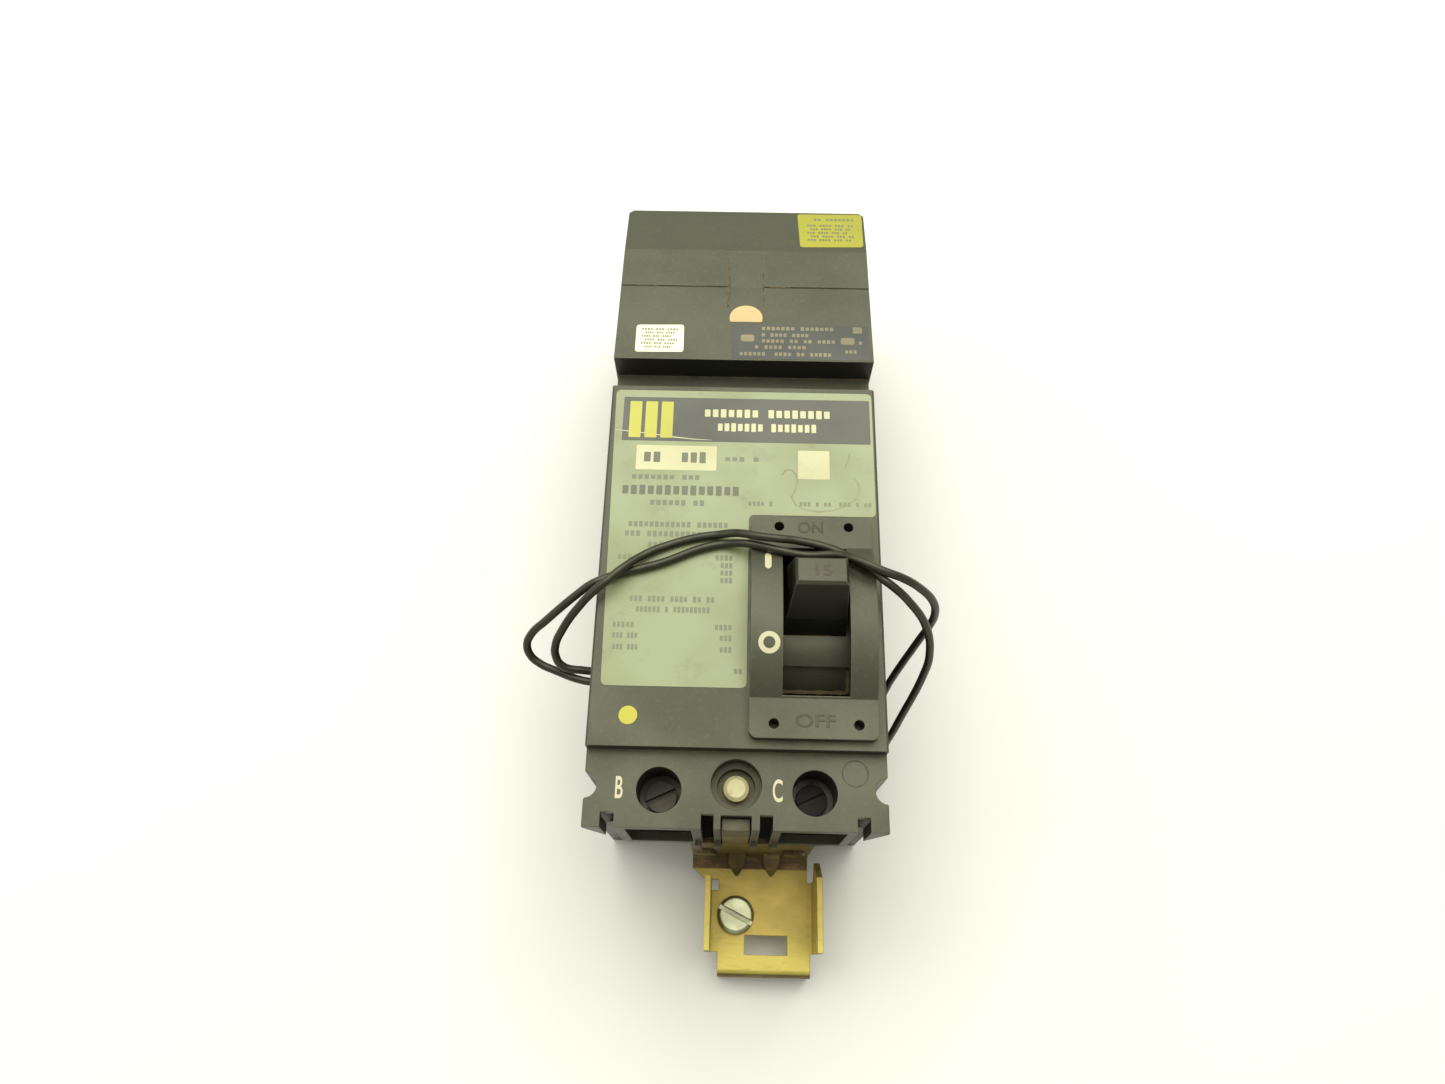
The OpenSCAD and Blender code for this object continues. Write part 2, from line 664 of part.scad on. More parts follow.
module load_strap(x) {
    color([0.72, 0.45, 0.25]) side_plate([x - 6, x + 6], [
        [-77, part_z - strap_t], [strap_leg_y, part_z - strap_t], [strap_leg_y, strap_foot_z - strap_t],
        [-52, strap_foot_z - strap_t], [-52, strap_foot_z], [strap_leg_y + strap_t, strap_foot_z],
        [strap_leg_y + strap_t, part_z], [-77, part_z]]);
}
module load_strap_b() { load_strap(pole_b); }
module load_strap_c() { load_strap(pole_c); }
bimetal_y = [-57, -55.8];
bimetal_top_z = 57;
calibration_z = 54;
calibration_r = 1.2;
module bimetal(x) {
    color([0.7, 0.6, 0.45]) difference() {
        pole_block(x, 4, bimetal_y, [strap_foot_z, bimetal_top_z]);
        rod_y(x, calibration_z, [bimetal_y[0] - eps, bimetal_y[1] + eps], calibration_r);
    }
}
module bimetal_b() { bimetal(pole_b); }
module bimetal_c() { bimetal(pole_c); }
module magnet(x) {
    color([0.5, 0.5, 0.48]) {
        pole_block(x, 7, [strap_leg_y + strap_t, strap_leg_y + strap_t + 1.6], [19, 35]);
        for (side = [-1, 1])
            pole_block(x + side * 6.2, 0.8, [strap_leg_y + strap_t, -52.6], [19, 35]);
    }
}
module magnet_b() { magnet(pole_b); }
module magnet_c() { magnet(pole_c); }
module armature(x) {
    color([0.5, 0.5, 0.48]) {
        pole_block(x, 6.4, [armature_y - 0.75, armature_y + 0.75], [19.5, 48.5]);
        rod_x(armature_y, armature_z, [x - post_out - 0.4, x + post_out + 0.4], armature_pin_r);
    }
}
module armature_b() { armature(pole_b); }
module armature_c() { armature(pole_c); }
module calibration_screws() {
    color([0.75, 0.65, 0.35]) both_poles() {
        rod_y(0, calibration_z, [-60, -50.4], calibration_r);
        rod_y(0, calibration_z, [-61.2, -60], 2.2);
    }
}
// flat braid from the tail of the contact arm to the foot of the load strap
module braid(x) {
    color([0.7, 0.45, 0.28]) side_plate([x - 2.8, x + 2.8], [[-52, 6.2], [-37, 6.2], [-32.6, 9.5],
        [-31.4, 14.4], [-33, 14.6], [-34.2, 10.4], [-37.6, 7.8], [-52, 7.8]]);
}
module braid_b() { braid(pole_b); }
module braid_c() { braid(pole_c); }

// ---------- lugs ----------

lug_half = 7.2;
lug_y = [-77.3, -64.3];
lug_top_z = 60.5;
wire_r = 4.4;
wire_hole_z = 52.2;
lug_screw_r = 4;
lug_screw_h = 4.6;
module lug(x) {
    color([0.7, 0.7, 0.68]) difference() {
        pole_block(x, lug_half, lug_y, [part_z, lug_top_z]);
        rod_y(x, wire_hole_z, [lug_y[0] - eps, lug_y[1] + eps], wire_r);
        post(x, well_y, [wire_hole_z, lug_top_z + eps], lug_screw_r + run_gap);
    }
}
module lug_b() { lug(pole_b); }
module lug_c() { lug(pole_c); }
module lug_screw(x, top_z) {
    color([0.45, 0.45, 0.42]) difference() {
        post(x, well_y, [top_z - lug_screw_h, top_z], lug_screw_r);
        translate([x, well_y, top_z]) rotate([0, 0, 25]) cube([9, 1.2, 3], center = true);
    }
}
module lug_screw_b() { lug_screw(pole_b, 62.2); }
module lug_screw_c() { lug_screw(pole_c, 61.4); }

// ---------- shunt trip ----------

coil_z = 62;
coil_y = [-38.5, -13.5];
shunt_end = 1.5;
plunger_r = 3;
module shunt_frame() {
    color([0.62, 0.6, 0.52]) difference() {
        union() {
            pole_block(pole_b, 9, [coil_y[0] - shunt_end, coil_y[1] + shunt_end], [52, 53.5]);
            for (y = [coil_y[0] - shunt_end, coil_y[1]])
                pole_block(pole_b, 9, [y, y + shunt_end], [52, roof_z]);
        }
        rod_y(pole_b, coil_z, [coil_y[0] - 2, coil_y[0] + eps], plunger_r + 0.4);
    }
}
module shunt_coil() {
    color([0.5, 0.25, 0.12]) difference() {
        union() {
            rod_y(pole_b, coil_z, coil_y, 7.4);
            rod_y(pole_b, coil_z, [coil_y[0], coil_y[0] + 1.2], 8.3);
            rod_y(pole_b, coil_z, [coil_y[1] - 1.2, coil_y[1]], 8.3);
        }
        rod_y(pole_b, coil_z, [coil_y[0] - eps, coil_y[1] - 2], plunger_r + run_gap);
    }
}
module plunger() {
    color([0.6, 0.6, 0.58]) {
        rod_y(pole_b, coil_z, [-44.6, -19], plunger_r);
        rod_y(pole_b, coil_z, [-44.6, -43.6], 5);
    }
}
module plunger_spring() {
    color([0.6, 0.6, 0.58]) for (i = [0 : 2])
        translate([pole_b, -40.6 - i * 1.2, coil_z]) rotate([90, 0, 0])
            rotate_extrude() translate([plunger_r + 0.9, 0]) circle(r = 0.5, $fn = 16);
}
lead_r = 1.1;
lead_pitch = 3;
module lead_grommet() {
    color([0.12, 0.12, 0.12]) difference() {
        union() {
            rod_x(lead_y, lead_z, [-half_w, -inner_w + 0.6], 3.2);
            rod_x(lead_y, lead_z, [-half_w, -half_w + 0.9], 4.4);
            rod_x(lead_y, lead_z, [-inner_w, -inner_w + 1], 4);
        }
        for (side = [-0.5, 0.5])
            rod_x(lead_y + side * lead_pitch, lead_z, [-half_w - 2, -inner_w + 2], lead_r + 0.1);
    }
}

// ---------- mounting bracket ----------

bracket_rivet_x = [-8, 17];
bracket_rivet_z = 26;
bracket_rivet_r = 1.8;
web_x = [-12, 21.8];
plate_x = [-6.2, 23];
web_y = [pad_y - sheet, pad_y];
web_top_z = 43.6;
bend_r = 3;
flange_y = [-106.5, -87];
hook_z = shelf_roof_z - 1.2;
bracket_screw_r = 2.4;
bracket_thread_r = 2.1;
tail_y = -82.5;
lip_r = 2;
bracket_head_r = 5.3;

// pressed rib that runs out to a point on the plate
module gusset(x) {
    root_y = web_y[0] - bend_r;
    intersection() {
        side_plate([x - 2.4, x + 2.4], [[web_y[1], plate_z - 0.4], [root_y - 3.2, plate_z - 0.4],
            [web_y[1], plate_z + bend_r + 4.4]]);
        flat_plate([plate_z - 1, plate_z + bend_r + 5], [[x - 2.4, web_y[1]], [x - 2.4, root_y + 0.4],
            [x, root_y - 3.3], [x + 2.4, root_y + 0.4], [x + 2.4, web_y[1]]]);
    }
}
module bracket() {
    color([0.74, 0.62, 0.3]) difference() {
        union() {
            // web against the case and its bend into the plate
            block(web_x, web_y, [plate_z + bend_r, web_top_z]);
            difference() {
                block(web_x, [web_y[0] - bend_r, web_y[1]], [plate_z - sheet, plate_z + bend_r]);
                rod_x(web_y[0] - bend_r, plate_z + bend_r, [web_x[0] - eps, web_x[1] + eps], bend_r);
            }
            // plate with a cut corner and a narrow tail
            flat_plate([plate_z - sheet, plate_z], [
                [web_x[0], web_y[0] - bend_r + eps], [web_x[0], -83.5], [plate_x[0] - sheet, flange_y[1]],
                [plate_x[0] - sheet, flange_y[0]], [-4.1, flange_y[0]], [-4.1, lip_y + lip_r],
                [22.4, lip_y + lip_r], [22.4, flange_y[0]], [plate_x[1] + sheet, flange_y[0]],
                [plate_x[1] + sheet, flange_y[1]], [web_x[1], flange_y[1]],
                [web_x[1], web_y[0] - bend_r + eps]]);
            // hooked lip
            block([-4.1, 22.4], [lip_y, lip_y + sheet], [0, plate_z - lip_r]);
            intersection() {
                rod_x(lip_y + lip_r, plate_z - lip_r, [-4.1, 22.4], lip_r);
                block([-5, 23], [lip_y, lip_y + lip_r], [plate_z - lip_r, plate_z]);
            }
            // upturned side flanges
            block([plate_x[0] - sheet, plate_x[0]], flange_y, [plate_z - sheet, plate_z + flange_h]);
            block([plate_x[1], plate_x[1] + sheet], flange_y, [plate_z - sheet, plate_z + flange_h]);
            side_plate([plate_x[1], plate_x[1] + sheet], [[flange_y[1] - eps, plate_z + 5],
                [tail_y, plate_z + 9], [tail_y, plate_z + 11], [flange_y[1] - eps, plate_z + flange_h]]);
            // tongue that hooks into the shelf
            block([-3.3, 3.7], web_y, [web_top_z - eps, hook_z]);
            block([-3.3, 3.7], [web_y[0], load_y + 3.2], [hook_z - sheet, hook_z]);
            // stiffening gussets pressed across the bend
            for (x = [1, 11.1]) gusset(x);
        }
        post(screw_x, screw_y, [plate_z - sheet - eps, plate_z + eps], bracket_screw_r + run_gap);
        block([3.6, 15.9], [-107, -101.8], [plate_z - sheet - eps, plate_z + eps]);
        // bend relief beside the left flange
        block([plate_x[0], plate_x[0] + 2.1], [flange_y[1] - 2.6, flange_y[1] + 0.4],
            [plate_z - sheet - eps, plate_z + eps]);
        for (x = bracket_rivet_x)
            rod_y(x, bracket_rivet_z, [web_y[0] - eps, web_y[1] + eps], bracket_rivet_r);
    }
}
module bracket_rivets() {
    color([0.6, 0.52, 0.3]) for (x = bracket_rivet_x) {
        rod_y(x, bracket_rivet_z, [web_y[0] - 1, pad_y + 3.9], bracket_rivet_r);
        rod_y(x, bracket_rivet_z, [web_y[0] - 1.2, web_y[0]], 3.2);
    }
}
module bracket_screw() {
    head_z = plate_z + 0.3;
    color([0.72, 0.73, 0.68]) difference() {
        union() {
            post(screw_x, screw_y, [plate_z - sheet - 0.2, head_z + 0.1], bracket_screw_r);
            post(screw_x, screw_y, [0.8, plate_z - sheet], bracket_thread_r);
            translate([screw_x, screw_y, head_z]) rotate_extrude() polygon(concat(
                [[0, 0], [bracket_head_r, 0]],
                [for (a = [0 : 15 : 90]) [bracket_head_r - 1.1 + 1.1 * cos(a), 1.2 + 1.4 * sin(a)]],
                [[0, 2.6]]));
        }
        translate([screw_x, screw_y, head_z + 2.4]) rotate([0, 0, -26])
            cube([12, 1.4, 2.2], center = true);
    }
}

// ---------- leads ----------

// out of the left wall, over the face past the line side of the handle, down to the surface that
// the case lies on, along the right side and behind the line end
lead_1_route = [
    [-37.5, -40.5, 60], [-41.5, -40.1, 59.7], [-50, -37.2, 59.4], [-54, -35.6, 60.2],
    [-56.4, -33.8, 61.8], [-57.1, -31.6, 64], [-55.6, -29.4, 66.8], [-51.5, -26.8, 70.2],
    [-42.5, -21.2, 76.4], [-38.6, -19, 78.4], [-34, -16.9, 78.5], [-21, -12.8, 78.3],
    [-9, -7.9, 78.3], [-3.5, -7, 78.7], [0.5, -7.7, 80.9], [3.8, -8.4, 81.7], [10, -10.2, 82.6],
    [16.5, -11.5, 82.8], [26, -12.3, 85.1], [29.2, -14, 86.9], [32.6, -15.9, 87.9],
    [36.5, -17.7, 88], [41.5, -18.8, 86.2], [46.3, -19.8, 82.2], [50.6, -21, 76.3],
    [52.4, -22.1, 70], [52.2, -23.3, 63], [50.5, -25.2, 56], [45.2, -31.7, 37],
    [43.5, -34.5, 25], [42.6, -34, 13], [42, -29, 5], [41.6, -21, 1.8], [41.3, -13, 1.3],
    [41, 20, 1.3], [41, 104, 1.3], [40, 113, 1.3], [35, 117, 1.3], [27, 118, 1.3],
    [-38, 118, 1.3]
];
lead_2_route = [
    [-37.5, -37.5, 60], [-41.5, -37.5, 60.7], [-47.4, -36.8, 62.6], [-49, -34.6, 64.6],
    [-48.8, -32.4, 67.2], [-47, -29.8, 70.6], [-41.2, -24.5, 77.7], [-37.9, -22, 80.4],
    [-34, -18.8, 81.5], [-31, -15.8, 81.1], [-25, -10.4, 78.7], [-21, -8.3, 78.3],
    [-11.5, -5.2, 78.3], [-6, -4.5, 78.8], [-2, -4.8, 80.8], [1.2, -5.9, 83], [4.5, -7, 84.1],
    [9.8, -7.7, 84.4], [14.5, -7.7, 83.4], [24.3, -9.8, 82.7], [28.8, -12.6, 83.7],
    [33.2, -15.9, 85], [36.5, -19.2, 86.1], [39.5, -21.2, 85.2], [43, -23, 82],
    [49.2, -27.2, 73], [51.6, -32.1, 63], [51.2, -35, 56.5], [47.2, -43.3, 38],
    [45.4, -46.8, 26], [44.8, -47, 14], [44.6, -42, 5], [44.5, -34, 1.8], [44.4, -26, 1.3],
    [44, 10, 1.3], [44, 106, 1.3], [42.5, 115.5, 1.3], [36, 120.4, 1.3], [28, 121, 1.3],
    [-28, 121, 1.3]
];
lead_sides = 8;

function unit(v) = v / norm(v);
function heading(p, i) = unit(p[min(i + 1, len(p) - 1)] - p[max(i - 1, 0)]);
// directions square to the route, carried along it without twist
function carried(p, i, n) = i == len(p) ? [] :
    let (t = heading(p, i), m = unit(n - (n * t) * t)) concat([m], carried(p, i + 1, m));
module tube(p, r) {
    normals = carried(p, 0, [0, 0, 1]);
    points = [for (i = [0 : len(p) - 1], k = [0 : lead_sides - 1])
        p[i] + r * (cos(360 * k / lead_sides) * normals[i]
            + sin(360 * k / lead_sides) * cross(heading(p, i), normals[i]))];
    last = (len(p) - 1) * lead_sides;
    faces = concat(
        [[for (k = [0 : lead_sides - 1]) k]],
        [for (i = [0 : len(p) - 2], k = [0 : lead_sides - 1]) let (n = (k + 1) % lead_sides)
            [i * lead_sides + k, (i + 1) * lead_sides + k, (i + 1) * lead_sides + n,
            i * lead_sides + n]],
        [[for (k = [lead_sides - 1 : -1 : 0]) last + k]]);
    polyhedron(points, faces);
}
module lead_1() {
    color([0.08, 0.08, 0.08]) tube(lead_1_route, lead_r);
}
module lead_2() {
    color([0.08, 0.08, 0.08]) tube(lead_2_route, lead_r);
}

// ---------- nodes ----------

case_base();
case_cover();
rear_line_block();
front_line_block();
case_screws();
centre_rivet();
jaw_b();
jaw_c();
jaw_springs();
jaw_rivets();
line_strap_b();
line_strap_c();
fixed_contact_b();
fixed_contact_c();
arc_plates_b();
arc_plates_c();
arc_cheeks_b();
arc_cheeks_c();
crossbar();
contact_arm_b();
contact_arm_c();
moving_contacts();
contact_springs();
mechanism_frame();
pivot_pin();
handle();
dust_shield();
drive_links();
upper_link_pin();
lower_link_pin();
handle_spring();
trip_bar();
latch_lever();
latch_pin();
load_strap_b();
load_strap_c();
bimetal_b();
bimetal_c();
magnet_b();
magnet_c();
armature_b();
armature_c();
calibration_screws();
braid_b();
braid_c();
lug_b();
lug_c();
lug_screw_b();
lug_screw_c();
shunt_frame();
shunt_coil();
plunger();
plunger_spring();
lead_grommet();
bracket();
bracket_rivets();
bracket_screw();
lead_1();
lead_2();
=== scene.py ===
"""Looks of the two-pole plug-on breaker: leads, finishes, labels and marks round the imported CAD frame."""

import json
import math

import bmesh
import bpy
from mathutils import Matrix, Vector


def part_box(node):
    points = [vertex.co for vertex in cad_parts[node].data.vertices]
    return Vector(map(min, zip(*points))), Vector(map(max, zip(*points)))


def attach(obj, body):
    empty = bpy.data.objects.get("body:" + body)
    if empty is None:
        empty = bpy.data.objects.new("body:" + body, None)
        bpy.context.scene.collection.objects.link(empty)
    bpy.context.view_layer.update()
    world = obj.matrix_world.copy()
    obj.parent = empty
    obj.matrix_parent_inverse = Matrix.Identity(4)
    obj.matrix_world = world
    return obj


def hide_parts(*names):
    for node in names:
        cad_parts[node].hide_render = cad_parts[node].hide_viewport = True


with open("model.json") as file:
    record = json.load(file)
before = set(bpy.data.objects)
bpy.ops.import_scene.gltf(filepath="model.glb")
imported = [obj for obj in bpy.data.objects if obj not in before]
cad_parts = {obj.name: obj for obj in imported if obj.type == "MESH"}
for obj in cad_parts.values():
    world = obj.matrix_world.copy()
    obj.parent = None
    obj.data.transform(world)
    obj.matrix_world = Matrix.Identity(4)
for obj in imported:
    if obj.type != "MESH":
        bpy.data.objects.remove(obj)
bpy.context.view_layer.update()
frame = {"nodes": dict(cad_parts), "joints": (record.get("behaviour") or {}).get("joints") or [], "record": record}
NODES = frame["nodes"]
MM = 0.001


# ---------- camera ----------

CAMERA_AT = (-0.00145, -0.11141, 0.32325)
CAMERA_TURN = (23.221, 0.201, 1.345)
LENS_MM = 24.91


def make_camera():
    data = bpy.data.cameras.new("camera")
    data.sensor_width = 36
    data.lens = LENS_MM
    data.clip_start = 0.01
    camera = bpy.data.objects.new("camera", data)
    camera.location = CAMERA_AT
    camera.rotation_euler = [math.radians(a) for a in CAMERA_TURN]
    bpy.context.scene.collection.objects.link(camera)
    bpy.context.scene.camera = camera


make_camera()


# ---------- shader helpers ----------


class Shader:
    """One procedural material, built up from short calls. Patterns use object coordinates, in metres."""

    def __init__(self, name, **settings):
        self.material = bpy.data.materials.new(name)
        self.material.use_nodes = True
        self.tree = self.material.node_tree
        self.surface = self.tree.nodes["Principled BSDF"]
        self.place = self.node("ShaderNodeTexCoord").outputs["Object"]
        for key, value in settings.items():
            self.surface.inputs[key.replace("_", " ")].default_value = value

    def node(self, kind, **inputs):
        made = self.tree.nodes.new(kind)
        for key, value in inputs.items():
            self.feed(made.inputs[key.replace("_", " ")], value)
        return made

    def feed(self, socket, value):
        if isinstance(value, bpy.types.NodeSocket):
            self.tree.links.new(value, socket)
        else:
            socket.default_value = value

    def noise(self, scale, detail=3.0, rough=0.5, place=None):
        made = self.node("ShaderNodeTexNoise", Scale=scale, Detail=detail, Roughness=rough)
        self.feed(made.inputs["Vector"], place or self.place)
        return made.outputs["Fac"]

    def stretched(self, scale):
        made = self.node("ShaderNodeMapping", Vector=self.place)
        made.inputs["Scale"].default_value = scale
        return made.outputs["Vector"]

    def band(self, value, low, high):
        """0 where value is at low or under, 1 where it is at high or over."""
        made = self.node("ShaderNodeMapRange", Value=value)
        made.interpolation_type = "SMOOTHSTEP"
        made.inputs["From Min"].default_value = low
        made.inputs["From Max"].default_value = high
        return made.outputs["Result"]

    def math(self, kind, a, b=0.0):
        made = self.tree.nodes.new("ShaderNodeMath")
        made.operation = kind
        self.feed(made.inputs[0], a)
        self.feed(made.inputs[1], b)
        return made.outputs[0]

    def mix(self, amount, a, b):
        made = self.tree.nodes.new("ShaderNodeMix")
        made.data_type = "RGBA"
        self.feed(made.inputs["Factor"], amount)
        self.feed(made.inputs["A"], a)
        self.feed(made.inputs["B"], b)
        return made.outputs["Result"]

    def axis(self, source, letter):
        made = self.node("ShaderNodeSeparateXYZ", Vector=source)
        return made.outputs[letter]

    def upward(self, low, high):
        """1 on faces that look up in the object's own frame, which are dusted and carry painted top light."""
        normal = self.tree.nodes.new("ShaderNodeTexCoord").outputs["Normal"]
        return self.band(self.axis(normal, "Z"), low, high)

    def corner_dirt_and_shade(self, reach):
        """1 in corners and crevices narrower than reach."""
        made = self.node("ShaderNodeAmbientOcclusion", Distance=reach)
        made.samples = 6
        return self.band(made.outputs["AO"], 0.85, 0.4)

    def rounded(self, radius):
        """The normal of a surface whose sharp edges are eased to a radius."""
        made = self.node("ShaderNodeBevel", Radius=radius)
        made.samples = 4
        return made.outputs["Normal"]

    def worn_lit_edge(self, radius):
        """1 along sharp edges, where handling has rubbed the surface and a painted highlight lightens it."""
        flat = self.tree.nodes.new("ShaderNodeNewGeometry").outputs["True Normal"]
        made = self.tree.nodes.new("ShaderNodeVectorMath")
        made.operation = "DOT_PRODUCT"
        self.feed(made.inputs[0], self.rounded(radius))
        self.feed(made.inputs[1], flat)
        return self.band(made.outputs["Value"], 0.985, 0.86)

    def bump(self, height, strength, distance, edge=0.0):
        made = self.node("ShaderNodeBump", Strength=strength, Distance=distance, Height=height)
        if edge:
            self.feed(made.inputs["Normal"], self.rounded(edge))
        self.feed(self.surface.inputs["Normal"], made.outputs["Normal"])

    def set(self, **inputs):
        for key, value in inputs.items():
            self.feed(self.surface.inputs[key.replace("_", " ")], value)
        return self


def rgb(red, green, blue):
    return (red, green, blue, 1.0)


OCHRE = rgb(0.20, 0.13, 0.04)
SHEEN = rgb(1.0, 1.0, 0.74)
WORN_LIT = rgb(0.17, 0.17, 0.12)


def moulded(name, clean, dusty_and_lit, roughness=0.42, grain=0.3, dirt=0.5, edge=0.0004, wear_and_highlight=0.5):
    """Moulded plastic: clean on upright faces, dusted and lighter with painted top light on faces that look up,
    ochre dirt in corners, edges lighter from rubbing and painted highlight.
    """
    made = Shader(name, IOR=1.5, Specular_Tint=SHEEN)
    haze = made.band(made.noise(26, 5, 0.6), 0.3, 0.7)
    speck = made.band(made.noise(900, 2), 0.5, 0.8)
    dust_and_top_light = made.mix(haze, dusty_and_lit, rgb(*[c * 0.72 for c in dusty_and_lit[:3]]))
    dust_and_top_light = made.mix(made.math("MULTIPLY", speck, 0.22), dust_and_top_light, rgb(*[c * 2.0 for c in dusty_and_lit[:3]]))
    # faces that look up take the lighter colour: dusted, and painted top light as well
    color = made.mix(made.upward(0.45, 0.97), clean, dust_and_top_light)
    # edges lightened: partly rubbed, partly painted highlight
    color = made.mix(made.math("MULTIPLY", made.worn_lit_edge(0.0005), wear_and_highlight), color, WORN_LIT)
    blotch = made.band(made.noise(160, 5, 0.6), 0.4, 0.6)
    corner = made.math("MULTIPLY", made.corner_dirt_and_shade(0.0022), blotch)
    color = made.mix(made.math("MULTIPLY", corner, dirt), color, OCHRE)
    made.set(Base_Color=color)
    made.set(Roughness=made.math("ADD", made.math("MULTIPLY", haze, 0.14), roughness - 0.06))
    made.bump(made.noise(2600, 2), grain, 0.00006, edge)
    return made.material


def metal(name, color, dull, roughness, stretch=(1, 1, 1), scratch=0.4, metallic=1.0, edge=0.00025):
    """Metal with fine scratches, patches of a duller tone and painted shade, a dark brown, in its corners."""
    made = Shader(name, Metallic=metallic)
    patch = made.band(made.noise(120, 4), 0.4, 0.65)
    lines = made.noise(3200, 2, 0.5, made.stretched(stretch))
    tone = made.mix(patch, color, dull)
    # painted shade: corners and crevices turn dark brown
    tone = made.mix(made.math("MULTIPLY", made.corner_dirt_and_shade(0.0015), 0.6), tone, rgb(0.06, 0.045, 0.025))
    made.set(Base_Color=tone)
    made.set(Roughness=made.math("ADD", made.math("MULTIPLY", lines, 0.25), roughness - 0.1))
    made.bump(lines, scratch, 0.00004, edge)
    return made.material


# ---------- finishes ----------


def bracket_finish():
    """Yellow-passivated zinc: mottled on the plate, brown on the web against the case from rust stain and painted
    shade, with painted shade on the rolled end and on faces that look toward the load end.
    """
    made = Shader("zinc_yellow", Metallic=0.5)
    low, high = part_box("bracket")
    plate_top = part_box("bracket_screw")[0].z + 0.0122
    x, y, z = (made.axis(made.place, letter) for letter in "XYZ")
    cloud = made.band(made.noise(80, 6, 0.65), 0.36, 0.66)
    plate = made.mix(cloud, rgb(0.40, 0.29, 0.055), rgb(0.50, 0.41, 0.10))
    tail = made.band(y, low.y + 0.014, low.y + 0.004)
    plate = made.mix(made.math("MULTIPLY", tail, 0.6), plate, rgb(0.60, 0.52, 0.11))
    streak = made.band(made.noise(260, 4, 0.6, made.stretched((1, 4, 1))), 0.5, 0.72)
    plate = made.mix(made.math("MULTIPLY", streak, 0.35), plate, rgb(0.30, 0.20, 0.04))
    # painted shade: a dark band where the plate's end rolls down to face the load end
    lip_painted_shade = made.band(y, low.y + 0.0014, low.y + 0.0006)
    plate = made.mix(lip_painted_shade, plate, rgb(0.10, 0.075, 0.022))
    rust = made.band(made.noise(170, 6, 0.7, made.stretched((1, 1, 2.5))), 0.42, 0.66)
    brown = made.mix(rust, rgb(0.085, 0.052, 0.020), rgb(0.20, 0.125, 0.045))
    # rust stain and painted shade, brown on the web and its bend, then the ribs pressed across the bend, but not
    # the side flanges
    web = made.band(y, high.y - 0.0070, high.y - 0.0066)
    ribs = made.math("MULTIPLY", made.band(y, high.y - 0.0102, high.y - 0.0098),
                     made.band(z, plate_top + 0.0001, plate_top + 0.0006))
    inside = made.band(x, high.x - 0.0016, high.x - 0.0022)
    stained_and_shaded = made.math("MULTIPLY", made.math("MAXIMUM", web, ribs), inside)
    tone = made.mix(stained_and_shaded, plate, brown)
    facing = made.axis(made.tree.nodes.new("ShaderNodeTexCoord").outputs["Normal"], "Y")
    shadowed = made.mix(rust, rgb(0.11, 0.08, 0.025), rgb(0.19, 0.14, 0.045))
    tone = made.mix(made.band(facing, -0.4, -0.9), tone, shadowed)
    tongue = made.band(z, high.z - 0.012, high.z - 0.011)
    tone = made.mix(tongue, tone, rgb(0.07, 0.065, 0.035))
    made.set(Base_Color=tone)
    made.set(Roughness=made.math("ADD", made.math("MULTIPLY", cloud, 0.18), 0.36))
    made.bump(made.noise(1500, 3), 0.25, 0.00005, 0.0004)
    return made.material


def lead_finish():
    made = Shader("lead_insulation", Roughness=0.38, Specular_Tint=SHEEN)
    # tops of the leads are dusted and lighter with painted top light
    dust_and_top_light = made.math("MULTIPLY", made.upward(0.3, 1.0), made.band(made.noise(300, 4), 0.3, 0.8))
    made.set(Base_Color=made.mix(dust_and_top_light, rgb(0.014, 0.015, 0.010), rgb(0.032, 0.033, 0.020)))
    made.bump(made.noise(1800, 2), 0.3, 0.00005)
    return made.material


def rivet_finish():
    made = Shader("rivet_cap", Roughness=0.45)
    blot = made.band(made.noise(420, 5, 0.65), 0.5, 0.72)
    tone = made.mix(made.math("MULTIPLY", blot, 0.6), rgb(0.62, 0.57, 0.29), rgb(0.36, 0.28, 0.12))
    made.set(Base_Color=tone)
    made.bump(made.noise(1400, 4), 0.7, 0.0001)
    return made.material


def tape_finish():
    """Coil tape, wound in ridges along the coil."""
    made = Shader("coil_tape", Roughness=0.5)
    wave = made.node("ShaderNodeTexWave", Scale=160.0, Distortion=0.6)
    wave.bands_direction = "Y"
    made.feed(wave.inputs["Vector"], made.place)
    made.set(Base_Color=made.mix(wave.outputs["Fac"], rgb(0.32, 0.14, 0.05), rgb(0.42, 0.21, 0.08)))
    made.bump(wave.outputs["Fac"], 0.4, 0.0002)
    return made.material


